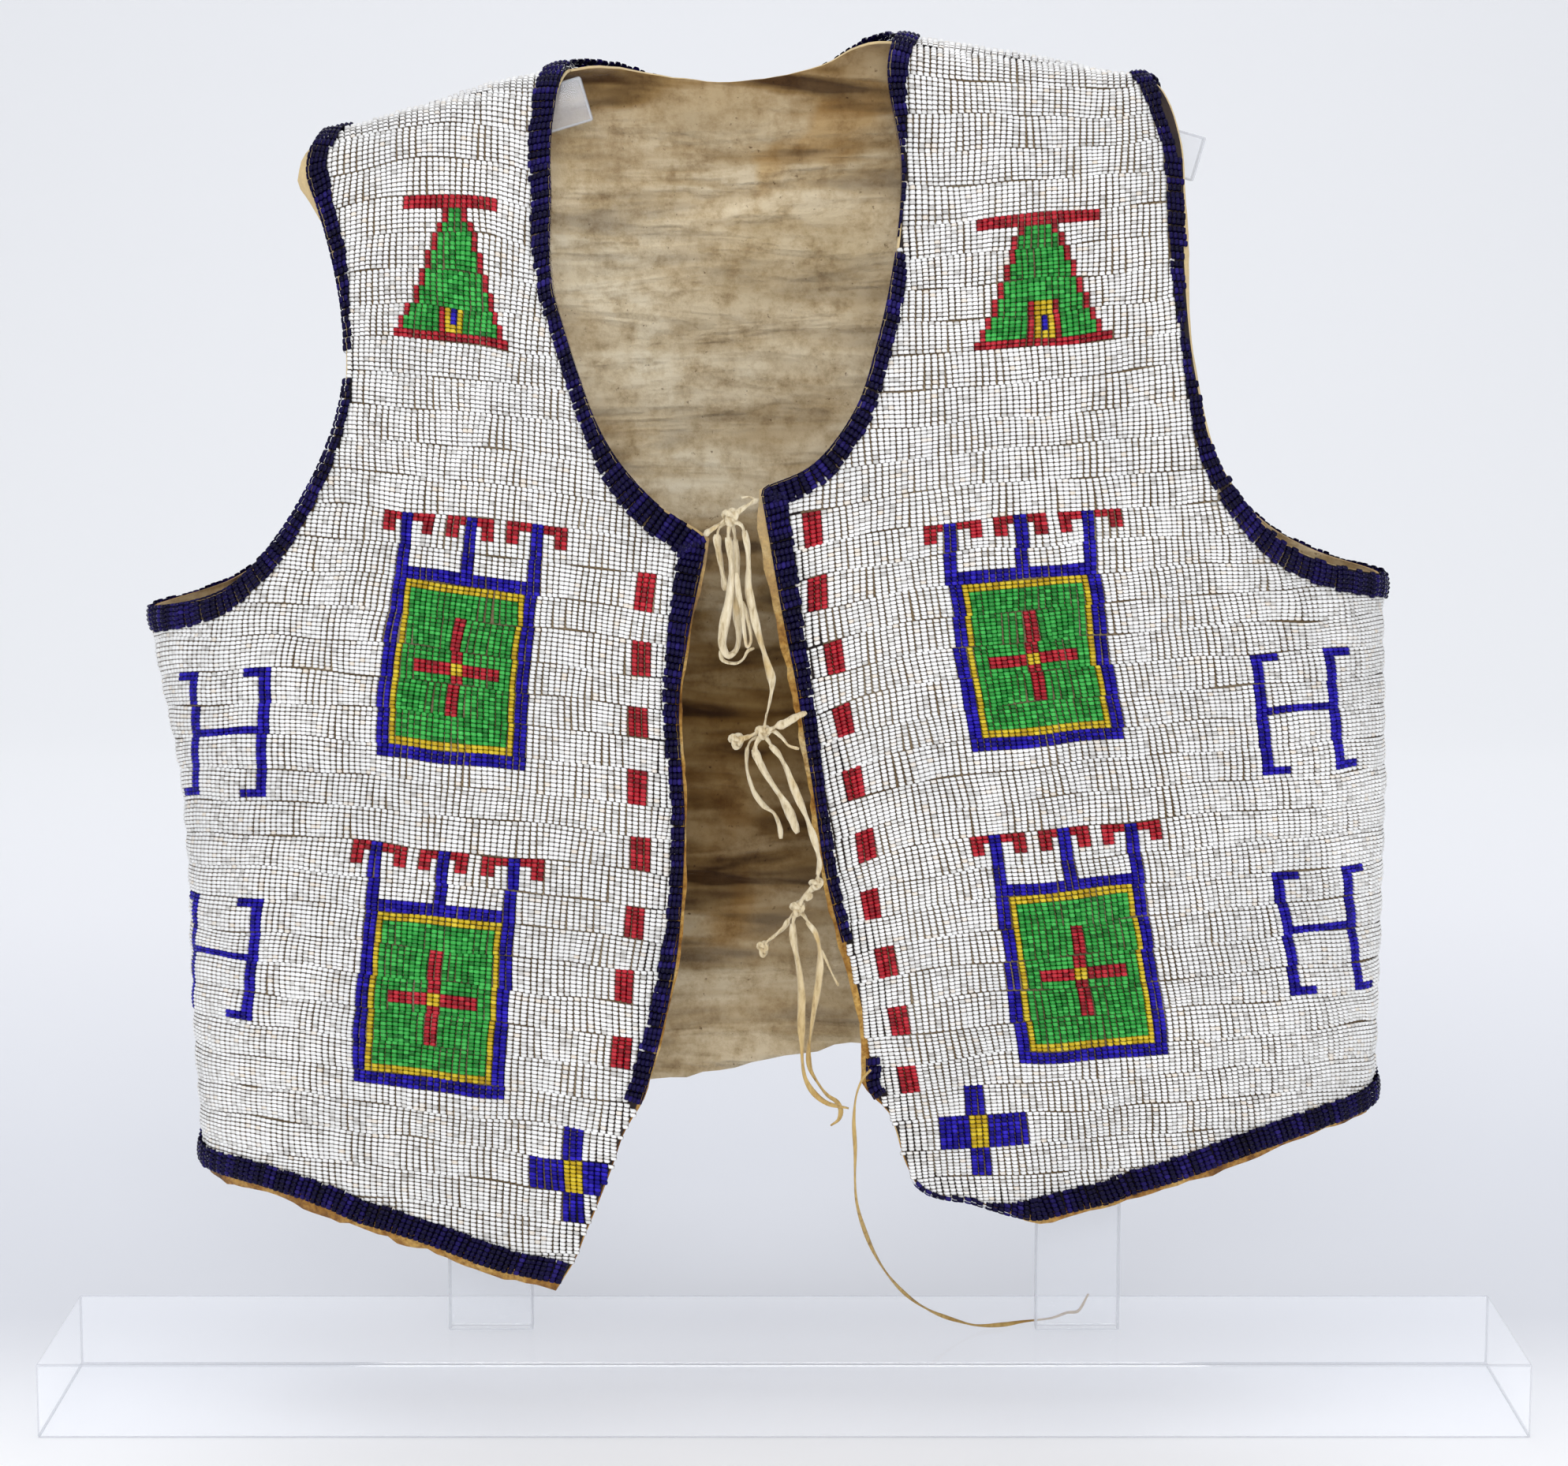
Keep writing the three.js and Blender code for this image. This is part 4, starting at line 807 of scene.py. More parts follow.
def bead_patches(centres, across, along, heights, side, points_across):
    """The outer halves of many beads: their corners, faces and chart points.

    across and along are one bead's full width and length as chart vectors."""
    profile = bead_profile(points_across)
    rings, lifts = [], []
    for ring in BEAD_RINGS:
        for place, crown in profile:
            wide = place * ring["width"] * BEAD_FULLNESS
            rings.append(centres + across * wide + along * ring["at"])
            lifts.append(heights + (ring["crown"] if crown else -BEAD_DEPTH))
    points = np.stack(rings, axis=1)
    lift = np.stack(lifts, axis=1)
    places, out = surface(points, side)
    places = places + out * lift[..., None]
    count = len(profile)
    corner = []
    for k in range(len(BEAD_RINGS) - 1):
        for i in range(count - 1):
            a = k * count + i
            corner.append([a, a + count, a + count + 1, a + 1])
    corner = np.array(corner)
    if side == "back":
        corner = corner[:, ::-1]
    each = len(BEAD_RINGS) * count
    faces = corner[None] + (np.arange(len(centres)) * each)[:, None, None]
    return places.reshape(-1, 3), faces.reshape(-1, 4), points.reshape(-1, 2), len(corner)


def bead_ends(count, points_across):
    """For each corner of so many beads, 1 where beads meet or sit in the hide, else 0."""
    return np.tile([
        0.0 if ring["crown"] == 0 and crown else 1.0
        for ring in BEAD_RINGS for _, crown in bead_profile(points_across)
    ], count)


LANE_HUMP = 0.65
HUMP_MIDDLE = 0.72

# How unevenly the lanes are sewn, as usual departures in millimetres or as a share of a bead's
# width. A reach is the number of columns to each side over which a departure drifts.
LANE_SLIP = 0.4
SIDEWAYS, SIDEWAYS_REACH = 0.22, 4
LEAN, LEAN_REACH, LEAN_SPREAD = 0.4, 5, 0.1
LINE_WAVE, LINE_REACH = 0.42, 9
GAP_SPREAD, GAP_REACH, LEAST_GAP = 0.11, 6, -0.1
SUNK, SUNK_REACH, SUNK_SPREAD = 0.11, 2, 0.07
SIZE_SPREAD = 0.04


def drift(rng, lines, reach):
    """Random runs over a panel's columns, one for each line, smooth over so many columns."""
    window = np.hanning(2 * reach + 1)
    window /= np.sqrt((window ** 2).sum())
    noise = rng.normal(0, 1, (lines, 2 * COLUMN_REACH + 1 + 2 * reach))
    return np.stack([np.convolve(row, window, mode="valid") for row in noise])


def lane_lattice(panel, rng):
    """Every bead of a panel's lanes, over and past its outline: centre, vectors, row and column."""
    grain = panel["grain"]
    lanes = np.arange(LEAST_LANE, LEAST_LANE + LANES)
    columns = np.arange(-COLUMN_REACH, COLUMN_REACH + 1)
    lane, column = (values.ravel() for values in np.meshgrid(lanes, columns, indexing="ij"))
    at = (lane - LEAST_LANE, column + COLUMN_REACH)
    after = (at[0] + 1, at[1])
    slip = rng.uniform(-LANE_SLIP, LANE_SLIP, LANES)[at[0]]
    slip = slip + SIDEWAYS * drift(rng, LANES, SIDEWAYS_REACH)[at]
    lean = LEAN * drift(rng, LANES, LEAN_REACH)[at] + rng.normal(0, LEAN_SPREAD, len(lane))
    wave = LINE_WAVE * drift(rng, LANES + 1, LINE_REACH)
    gap = np.maximum(GAP_SPREAD * drift(rng, LANES + 1, GAP_REACH), LEAST_GAP)
    size = rng.normal(0, SIZE_SPREAD, len(lane))
    rise = SUNK * drift(rng, LANES, SUNK_REACH)[at] + rng.normal(0, SUNK_SPREAD, len(lane))

    def of_lane(word, number):
        return read(grain, "lane", word, number)

    def bow(number):
        return np.where(column < 0, of_lane("bow_before", number), of_lane("bow_after", number))

    def line(number):
        across = (column + 0.5) * of_lane("gauge", number)
        level = level_of(grain, number) + of_lane("slope", number) * across
        return of_lane("arc", number) + across + slip, level - bow(number) * across ** 2

    top_arc, top = line(lane)
    foot_arc, foot = line(lane + 1)
    foot_arc = foot_arc + lean
    top = top + wave[at] - gap[at]
    foot = foot + wave[after] + gap[after]
    gauge, slope = of_lane("gauge", lane + 0.5), of_lane("slope", lane + 0.5)
    slope = slope - 2 * bow(lane + 0.5) * (column + 0.5) * gauge
    tilt_down = (foot_arc - top_arc) / BEADS_PER_LANE
    pitch = (top - foot) / BEADS_PER_LANE
    wide = (gauge * (1 + size))[:, None]
    beads = []
    for bead in range(BEADS_PER_LANE):
        t = (bead + 0.5) / BEADS_PER_LANE
        arc = top_arc + (foot_arc - top_arc) * t
        level = top + (foot - top) * t
        drop = ridge_at(turn_of(arc)) - level + ROLL_DROP - SHOULDER_ROLL
        ridge_slope = (ridge_at(turn_of(arc + 1)) - ridge_at(turn_of(arc - 1))) / 2
        beads.append({
            "centre": np.stack([arc, drop], axis=1),
            "across": np.stack([np.ones_like(arc), ridge_slope - slope], axis=1) * wide,
            "along": np.stack([tilt_down, pitch + ridge_slope * tilt_down], axis=1),
            "height": LANE_HUMP * (math.sin(math.pi * t) - HUMP_MIDDLE) + rise,
            "row": lane * BEADS_PER_LANE + bead,
            "column": column,
        })
    return {key: np.concatenate([bead[key] for bead in beads]) for key in beads[0]}


def level_of(grain, number):
    """The height of a lane's top line at column 0, carried on past the table's ends."""
    level = read(grain, "lane", "level", number)
    first, last = grain[0], grain[-1]
    pitch = (first["level"] - last["level"]) / (last["lane"] - first["lane"])
    level = level + np.maximum(first["lane"] - number, 0) * pitch
    return level - np.maximum(number - last["lane"], 0) * pitch


def paint(panel, beads):
    """The colour of each bead, from the panel's motif charts."""
    colour = np.full(len(beads["row"]), WHITE)
    row, column = beads["row"], beads["column"]

    def fill(mark, first_row, first_column):
        within = (
            (row >= first_row + mark["row"]) & (row < first_row + mark["row"] + mark["rows"])
            & (column >= first_column + mark["column"])
            & (column < first_column + mark["column"] + mark["columns"])
        )
        colour[within] = mark["colour"]

    for motif in panel["motifs"]:
        for mark in motif["chart"]:
            fill(mark, motif["lane"] * BEADS_PER_LANE, motif["column"])
    if panel["dashes"]:
        for k, arc in enumerate(panel["dashes"]["arcs"]):
            lane = panel["dashes"]["lane"] + 2 * k
            arc0 = float(read(panel["grain"], "lane", "arc", lane + 0.5))
            gauge = float(read(panel["grain"], "lane", "gauge", lane + 0.5))
            middle = math.floor((arc - arc0) / gauge)
            fill(DASH, lane * BEADS_PER_LANE, middle)
    return colour


EDGE_CLEARANCE = 0.3
EDGING_OVERLAP = 1.3
POINTS_ACROSS = {"front": 4, "back": 3}
WHITE_PARTS = {"front_right": 2, "front_left": 2, "back": 3}


def in_field(name, panel, points):
    """Which beads lie on the panel and clear of its edgings."""
    kept = inside(points, outline_of(panel))
    near = np.flatnonzero(kept)
    clear = np.ones(len(near), bool)
    for edge in ("top", "left", "right", "hem"):
        line = edge_line(panel, edge)
        taken = np.full(len(line), EDGE_CLEARANCE)
        for edging in EDGINGS:
            if edging["panel"] == name and edging["edge"] == edge:
                covered = edging_cover(edging, line)
                reach = EDGING_WIDTH - EDGING_OVERLAP - turned_back(edging, line[covered], "turned")
                taken[covered] = np.maximum(reach, EDGE_CLEARANCE)
        gap, nearest = nearest_on(points[near], line)
        clear &= gap > taken[nearest]
    kept[near] = clear
    return kept


def add_field(name, panel, materials, rng):
    """A panel's lanes of beads, in one piece for each colour, and the white in parts."""
    beads = lane_lattice(panel, rng)
    kept = in_field(name, panel, beads["centre"])
    beads = {key: values[kept] for key, values in beads.items()}
    colour = paint(panel, beads)
    tint = rng.uniform(0, 1, len(colour))
    points_across = POINTS_ACROSS[panel["side"]]
    for number, word in enumerate(COLOURS):
        of_colour = np.flatnonzero(colour == number)
        if not len(of_colour):
            continue
        order = of_colour[np.argsort(beads["centre"][of_colour, 0], kind="stable")]
        shares = np.array_split(order, WHITE_PARTS[name]) if number == WHITE else [order]
        for k, share in enumerate(shares):
            places, faces, points, each = bead_patches(
                beads["centre"][share], beads["across"][share], beads["along"][share],
                beads["height"][share], panel["side"], points_across,
            )
            suffix = f"_{k + 1}" if len(shares) > 1 else ""
            slot = f"beads_{word}"
            thing = make_mesh(
                f"{name}_{slot}{suffix}", places, faces, materials[slot], chart_uv(points),
                np.repeat(tint[share], each), bead_ends(len(share), points_across),
            )
            add_piece(thing, slot, name)


EDGING_HUMP = 0.7
EDGING_HUMP_MIDDLE = 0.6
EDGING_FULLNESS = 1.08
EDGE_ROUND = 0.9
EDGING_SINK = 0.45
EDGING_LIFT = PIECE_GAP + EDGING_THICKNESS - EDGING_SINK
EDGING_OVERHANG = 0.3
BEAD_TINT = 0.3  # how much of a bead's tint is its own, and not its row's

# How unevenly an edging's rows are sewn: departures in millimetres, and for the width as a share.
ROW_SWAY = 0.25
ROW_WIDTH = 0.05
ROW_RISE = 0.14
ROW_REACH = 0.45

# Which way is in from each edge, for lines that run down or to larger arcs.
INWARD = {"left": 1, "right": -1, "hem": 1, "top": -1}


def line_vectors(line, edge):
    """Unit vectors at each point of an edge: into the panel, and along the edge."""
    along = np.gradient(line, axis=0)
    along /= np.linalg.norm(along, axis=1, keepdims=True)
    return np.stack([along[:, 1], -along[:, 0]], axis=1) * INWARD[edge], along


def turned_back(edging, line, column):
    """A column of an edging's turned table at each point of a line."""
    if edging["name"] not in TURNED:
        return np.zeros(len(line))
    axis = 0 if edging["edge"] == "hem" else 2
    places = surface(line, PANELS[edging["panel"]]["side"])[0]
    return read(TURNED[edging["name"]], "at", column, places[:, axis])


def add_edging(edging, material, rng):
    """An edging: short rows of beads laid square across an edge, or partly turned round it."""
    panel = PANELS[edging["panel"]]
    line = edge_line(panel, edging["edge"])
    line = line[edging_cover(edging, line)]
    length = np.linalg.norm(np.diff(line, axis=0), axis=1).sum()
    rows = int(length / EDGING_PITCH)
    line = resampled(line, rows + 1)
    line = (line[1:] + line[:-1]) / 2
    inward, along = line_vectors(line, edging["edge"])
    sway = rng.normal(0, ROW_SWAY, rows)
    wide = EDGING_PITCH * EDGING_FULLNESS * (1 + rng.normal(0, ROW_WIDTH, rows))
    rise = rng.normal(0, ROW_RISE, rows)
    reach = rng.uniform(-ROW_REACH, ROW_REACH, rows) - EDGING_OVERHANG
    reach = reach - turned_back(edging, line, "turned")
    bare = turned_back(edging, line, "bare")
    pitch = EDGING_WIDTH / EDGING_BEADS
    beads = []
    for bead in range(EDGING_BEADS):
        t = (bead + 0.5) / EDGING_BEADS
        place = pitch * (bead + 0.5) + reach
        past = np.maximum(-place, 0)
        rounded = np.exp(-past / EDGE_ROUND)
        flat = np.where(place > 0, place, -EDGE_ROUND * (1 - rounded))
        hump = EDGING_HUMP * (math.sin(math.pi * t) - EDGING_HUMP_MIDDLE)
        beads.append({
            "kept": (bare <= 0) | (place > bare),
            "centre": line + inward * flat[:, None] + along * (sway * t)[:, None],
            "across": along * wide[:, None],
            "along": inward * (pitch * np.where(place > 0, 1, rounded))[:, None],
            "height": EDGING_LIFT + hump + rise - (past - EDGE_ROUND * (1 - rounded)),
        })
    kept, centres, across, lengthwise, heights = (
        np.concatenate([bead[key] for bead in beads]) for key in beads[0]
    )
    turned = np.sign(across[:, 0] * lengthwise[:, 1] - across[:, 1] * lengthwise[:, 0])
    across = across * turned[:, None]
    points_across = POINTS_ACROSS["front"]
    places, faces, points, each = bead_patches(
        centres[kept], across[kept], lengthwise[kept], heights[kept], panel["side"], points_across
    )
    of_row = rng.uniform(0, 1, rows)
    tint = np.concatenate([
        of_row * (1 - BEAD_TINT) + BEAD_TINT * rng.uniform(0, 1, rows) for _ in beads
    ])[kept]
    thing = make_mesh(
        edging["name"] + "_beads", places, faces, material, chart_uv(points),
        np.repeat(tint, each), bead_ends(len(tint), points_across),
    )
    add_piece(thing, "beads_navy", edging["name"])


# ------------------------------------------------------------------ hide

RELAX_PASSES = 60

# How far the raw hide stands past the beadwork's edge: by height, or for a hem by x.
LIPS = named_tables(("at", "lip"), {
    "front_right_left": [
        (276, 0), (282, 0.3), (340, 0.4), (395, 0.7), (405, 1.4), (412, 3.0), (425, 3.2),
        (433, 1.4),
    ],
    "front_right_right": [
        (56, 0), (112, 0), (122, 1.4), (296, 1.5), (308, 1.0), (345, 0.7), (360, 0.3), (455, 0.3),
    ],
    "front_right_hem": [(-200, 3.6), (-74, 3.2)],
    "front_left_left": [
        (90, 0), (117, 0), (124, 2.4), (132, 2.2), (140, 1.4), (170, 1.9), (200, 2.1), (240, 2.5),
        (262, 3.2), (290, 3.9), (312, 3.6), (320, 1.6), (345, 0.8), (460, 0.5),
    ],
    "front_left_right": [
        (287, 0), (293, 0.4), (373, 0.5), (390, 1.2), (402, 1.2), (412, 0.3), (451, 0.3),
    ],
    "front_left_hem": [
        (43, 0), (72, 0), (80, 1.8), (92, 2.2), (116, 2.6), (142, 3.8), (168, 2.8), (203, 3.2),
    ],
    "back_left": [(276, 0), (282, 0.5), (433, 0.5)],
    "back_right": [(287, 0), (293, 0.5), (451, 0.5)],
    "back_hem": [(-200, 4.2), (203, 4.2)],
})
NECK_LIP = 1.6
NECK_IN = 4  # how far inside the neck's corners its lip begins
HIDE_ROWS = 124
HIDE_COLUMNS = {"front_right": 40, "front_left": 40, "back": 74}
EDGE_CELL = 0.1  # the rim cells' width inside the outline, as a share of a cell
SHADED_CELLS = 3  # the cells in from the rim that lie under an edging

# The hide's inner face: puckers where the lanes are sewn, whose lines wander by shares of a lane
# over so much arc, whose depth swells and fades, and small waves. They fade towards the rim.
SEAM_PITCH = 11.0
SEAM_WANDER = ((0.12, 23), (0.08, 9))
PUCKER = 0.55
PUCKER_SWELL = {"least": 0.2, "most": 1.0, "arc": 31, "level": 47}
SMALL_WAVES = {"height": 0.35, "arc": 6.1, "level": 9.7, "fade": 13.3}
BORDER_CELLS = 3
RIM_THINNED = 0.25

# The beaded side under the lanes is thread and painted shade, and under the edgings painted shade
# only.
HIDE, SEWN_AND_SHADE, EDGE, SHADED = range(4)


def hide_net(panel, rows, columns):
    """A net of chart points over a panel, its rows running from the left edge to the right."""
    top = resampled(edge_line(panel, "top"), columns + 1)
    hem = resampled(edge_line(panel, "hem"), columns + 1)
    sides = []
    for edge in ("left", "right"):
        upper, lower = (chart_line(part) for part in panel[edge])
        lengths = [np.linalg.norm(np.diff(part, axis=0), axis=1).sum() for part in (upper, lower)]
        share = round(rows * lengths[0] / sum(lengths))
        sides.append(np.concatenate([
            resampled(upper, share + 1)[:-1], resampled(lower, rows - share + 1),
        ]))
    left, right = sides
    u = np.linspace(0, 1, columns + 1)[None, :, None]
    v = np.linspace(0, 1, rows + 1)[:, None, None]
    net = (
        (1 - u) * left[:, None] + u * right[:, None] + (1 - v) * top[None] + v * hem[None]
        - (1 - u) * (1 - v) * top[0] - u * (1 - v) * top[-1]
        - (1 - u) * v * hem[0] - u * v * hem[-1]
    )
    for _ in range(RELAX_PASSES):
        net[1:-1, 1:-1] = (net[:-2, 1:-1] + net[2:, 1:-1] + net[1:-1, :-2] + net[1:-1, 2:]) / 4
    return net


RAGGED, RAGGED_REACH, FINE_RAGGED = 0.3, 7, 0.3


def ragged(count, rng):
    """A smooth random run of offsets, with a few deeper nicks."""
    coarse = rng.normal(0, 1, count)
    kernel = np.hanning(RAGGED_REACH)
    run = np.convolve(coarse, kernel / kernel.sum(), mode="same")
    return RAGGED * (run + rng.normal(0, FINE_RAGGED, count))


def push_edge(net, edge, lip, rng):
    """Moves a net's edge outward to make a raw lip of uneven width."""
    line = {"left": net[:, 0], "right": net[:, -1], "hem": net[-1], "top": net[0]}[edge]
    next_in = {"left": net[:, 2], "right": net[:, -3], "hem": net[-3], "top": net[2]}[edge]
    away = line - next_in
    away /= np.maximum(np.linalg.norm(away, axis=1, keepdims=True), 1e-6)
    line += away * np.maximum(lip * (1 + ragged(len(line), rng)), 0)[:, None]


def steps_in(rows, columns):
    """How many steps each place of a grid is from the grid's nearest side."""
    row, column = np.mgrid[0:rows, 0:columns]
    return np.minimum(np.minimum(row, rows - 1 - row), np.minimum(column, columns - 1 - column))


def puckers(arc, level):
    """How far the hide's inner face stands out at an arc and a height."""
    seams = level / SEAM_PITCH
    for lanes, length in SEAM_WANDER:
        seams = seams + lanes * np.sin(arc / length)
    least, most = PUCKER_SWELL["least"], PUCKER_SWELL["most"]
    swell = np.sin(arc / PUCKER_SWELL["arc"] + level / PUCKER_SWELL["level"])
    depth = (most + least) / 2 + (most - least) / 2 * swell
    waves = np.sin(arc / SMALL_WAVES["arc"] + level / SMALL_WAVES["level"])
    waves = SMALL_WAVES["height"] * waves * np.sin(level / SMALL_WAVES["fade"])
    return PUCKER * depth * np.sin(2 * math.pi * seams) + waves


def hide_shell(name, panel, materials, rng):
    """A panel of hide as a thin shell, puckered where its lanes are sewn.

    The materials are the bare hide's, its beaded side's under the lanes, with thread and painted
    shade, its raw edge's, and the painted shade of its beaded side under the edgings."""
    net = hide_net(panel, HIDE_ROWS, HIDE_COLUMNS[name])
    net = np.pad(net, ((1, 1), (1, 1), (0, 0)), mode="edge")
    for rim, inner in ((1, 2), (-2, -3)):
        net[rim] += (net[inner] - net[rim]) * EDGE_CELL
        net[:, rim] += (net[:, inner] - net[:, rim]) * EDGE_CELL
    places = surface(net, panel["side"])[0]
    ends = {"left": places[:, 0, 2], "right": places[:, -1, 2], "hem": places[-1, :, 0]}
    for edge, at in ends.items():
        push_edge(net, edge, read(LIPS[name + "_" + edge], "at", "lip", at), rng)
    if name == "back":
        x = surface(net[0], "back")[0][:, 0]
        right, left = RIGHT_FRONT["neck"][0][0] + NECK_IN, LEFT_FRONT["neck"][0][0] - NECK_IN
        push_edge(net, "top", np.where((x > right) & (x < left), NECK_LIP, 0.0), rng)
    net[..., 0] = np.clip(net[..., 0], -QUARTER_ARC, QUARTER_ARC)
    net[..., 1] = np.maximum(net[..., 1], 0)
    places, out = surface(net, panel["side"])
    level = ridge_at(turn_of(net[..., 0])) - net[..., 1] + ROLL_DROP - SHOULDER_ROLL
    tall, wide = net.shape[:2]
    border = np.minimum(steps_in(tall, wide) / BORDER_CELLS, 1)
    thinned = puckers(net[..., 0], level) * border + RIM_THINNED * (1 - border)
    outer = places + out * HIDE_FACE
    inner = outer - out * (HIDE_THICKNESS - thinned)[..., None]
    count = tall * wide
    index = np.arange(count).reshape(tall, wide)
    quads = np.stack([index[:-1, :-1], index[1:, :-1], index[1:, 1:], index[:-1, 1:]], axis=-1)
    quads = quads.reshape(-1, 4)
    ring = np.concatenate([index[0, :], index[1:, -1], index[-1, -2::-1], index[-2:0:-1, 0]])
    following = np.roll(ring, -1)
    rim = np.stack([following, ring, ring + count, following + count], axis=1)[:, ::-1]
    faces = np.concatenate([quads, quads[:, ::-1] + count, rim])
    if panel["side"] == "back":
        faces = faces[:, ::-1]
    flat = (chart_uv(net) * (0.5, 1.0)).reshape(-1, 2)
    thing = make_mesh(
        name + "_hide", np.concatenate([outer.reshape(-1, 3), inner.reshape(-1, 3)]), faces,
        materials[HIDE], np.concatenate([flat, flat + (0.5, 0)]),
    )
    for material in materials[1:]:
        thing.data.materials.append(material)
    inward = steps_in(tall - 1, wide - 1).ravel()
    kinds = np.full(len(faces), EDGE, np.int32)
    kinds[:len(quads)] = np.select([inward < 1, inward < SHADED_CELLS], [EDGE, SHADED], SEWN_AND_SHADE)
    kinds[len(quads):2 * len(quads)] = HIDE
    thing.data.polygons.foreach_set("material_index", kinds)
    return thing


def add_hide(name, panel, materials, rng):
    thing = hide_shell(name, panel, materials, rng)
    add_piece(thing, "hide", name)


# ------------------------------------------------------------------ materials


def tone(*values):
    """A colour: of one value a linear grey, and of three what they are on a 0-255 screen."""
    if len(values) == 1:
        return values * 3 + (1.0,)
    return tuple(
        value / 12.92 if value <= 0.04045 else ((value + 0.055) / 1.055) ** 2.4
        for value in (screen / 255 for screen in values)
    ) + (1.0,)


class Nodes:
    """A material's node tree, with short calls for the nodes that it uses."""

    def __init__(self, name):
        self.material = bpy.data.materials.new(name)
        self.material.use_nodes = True
        self.tree = self.material.node_tree
        self.shader = self.tree.nodes["Principled BSDF"]

    def node(self, kind, **settings):
        node = self.tree.nodes.new(kind)
        for key, value in settings.items():
            setattr(node, key, value)
        return node

    def give(self, socket, value):
        """Links a node's output to a socket, or sets a constant on the socket."""
        if isinstance(value, bpy.types.NodeSocket):
            self.tree.links.new(value, socket)
        else:
            socket.default_value = value

    def place(self, scale=(1, 1, 1)):
        """The place on the object, in metres, stretched."""
        mapping = self.node("ShaderNodeMapping")
        mapping.inputs["Scale"].default_value = scale
        self.give(mapping.inputs["Vector"], self.node("ShaderNodeTexCoord").outputs["Object"])
        return mapping.outputs["Vector"]

    def part(self, place, axis):
        split = self.node("ShaderNodeSeparateXYZ")
        self.give(split.inputs[0], place)
        return split.outputs[axis]

    def tint(self, name):
        return self.node("ShaderNodeAttribute", attribute_name=name).outputs["Fac"]

    def noise(self, vector, scale, detail=4, roughness=0.55, distortion=0.0):
        noise = self.node("ShaderNodeTexNoise")
        values = (vector, scale, detail, roughness, distortion)
        for key, value in zip(("Vector", "Scale", "Detail", "Roughness", "Distortion"), values):
            self.give(noise.inputs[key], value)
        return noise.outputs["Fac"]

    def ramp(self, value, stops):
        """Colours by value. A stop is its position and then its colour, as tone takes it."""
        ramp = self.node("ShaderNodeValToRGB")
        elements = ramp.color_ramp.elements
        while len(elements) < len(stops):
            elements.new(0.5)
        for element, (position, *values) in zip(elements, stops):
            element.position = position
            element.color = tone(*values)
        self.give(ramp.inputs["Fac"], value)
        return ramp.outputs["Color"]

    def mix(self, factor, first, second, blend_type="MIX"):
        mix = self.node("ShaderNodeMix", data_type="RGBA", blend_type=blend_type)
        for number, value in ((0, factor), (6, first), (7, second)):
            self.give(mix.inputs[number], value)
        return mix.outputs[2]

    def times(self, colour, other, share=1.0):
        """A colour darkened by another, by a share of it."""
        return self.mix(share, colour, other, "MULTIPLY")

    def bump(self, height, strength, distance, before=None):
        bump = self.node("ShaderNodeBump")
        for key, value in (("Height", height), ("Strength", strength), ("Distance", distance)):
            self.give(bump.inputs[key], value)
        if before is not None:
            self.give(bump.inputs["Normal"], before)
        return bump.outputs["Normal"]

    def finish(self, colour, **values):
        """Gives the shader its colour and its other values, and hands the material over."""
        self.give(self.shader.inputs["Base Color"], colour)
        for key, value in values.items():
            self.give(self.shader.inputs[key.replace("_", " ")], value)
        return self.material


# The beads' looks: their colours by tint, how rough they are, how strongly their glass mirrors,
# and the painted shade that is left between two beads.
CREVICE_SHADE = (0.2,)
BEAD_LOOKS = named(("name", "stops", "roughness", "gloss", "seam"), [
    ("beads_white", [
        (0.0, 208, 206, 202), (0.1, 232, 231, 228), (0.3, 244, 244, 242), (0.9, 251, 251, 250),
        (1.0, 238, 228, 214),
    ], 0.3, 0.5, (108, 94, 78)),
    ("beads_green", [
        (0.0, 16, 112, 34), (0.4, 34, 152, 54), (1.0, 66, 188, 82),
    ], 0.22, 0.3, CREVICE_SHADE),
    ("beads_red", [
        (0.0, 126, 2, 20), (0.5, 168, 8, 30), (1.0, 200, 38, 54),
    ], 0.2, 0.3, CREVICE_SHADE),
    ("beads_yellow", [
        (0.0, 176, 142, 8), (0.5, 206, 176, 18), (1.0, 226, 200, 50),
    ], 0.26, 0.3, CREVICE_SHADE),
    ("beads_blue", [
        (0.0, 18, 8, 110), (0.5, 30, 18, 154), (1.0, 50, 38, 190),
    ], 0.16, 0.12, CREVICE_SHADE),
    ("beads_navy", [
        (0.0, 7, 3, 30), (0.6, 15, 8, 56), (0.85, 26, 16, 84), (1.0, 44, 34, 116),
    ], 0.14, 0.1, CREVICE_SHADE),
])


def bead_material(name, stops, roughness, gloss, seam):
    """Glass seed beads: each with its own tint, a little grime, and painted shade where beads meet.
    """
    nodes = Nodes(name)
    place = nodes.place()
    grime = nodes.ramp(nodes.noise(place, 26, 6), [(0.38, 0.88), (0.62, 1.0)])
    # Painted shade at the bead ends, where beads meet and where they sit in the hide.
    joint_shade = nodes.ramp(nodes.tint("end"), [(0.55, 1.0), (0.8, 0.75), (0.97, *seam)])
    uneven = nodes.noise(place, 1400, 2)
    return nodes.finish(
        nodes.times(nodes.times(nodes.ramp(nodes.tint("tint"), stops), grime), joint_shade),
        Roughness=nodes.ramp(uneven, [(0.3, roughness * 0.8), (0.7, roughness * 1.3)]),
        Normal=nodes.bump(uneven, 0.25, 0.0002), Specular_IOR_Level=gloss, IOR=1.52,
    )


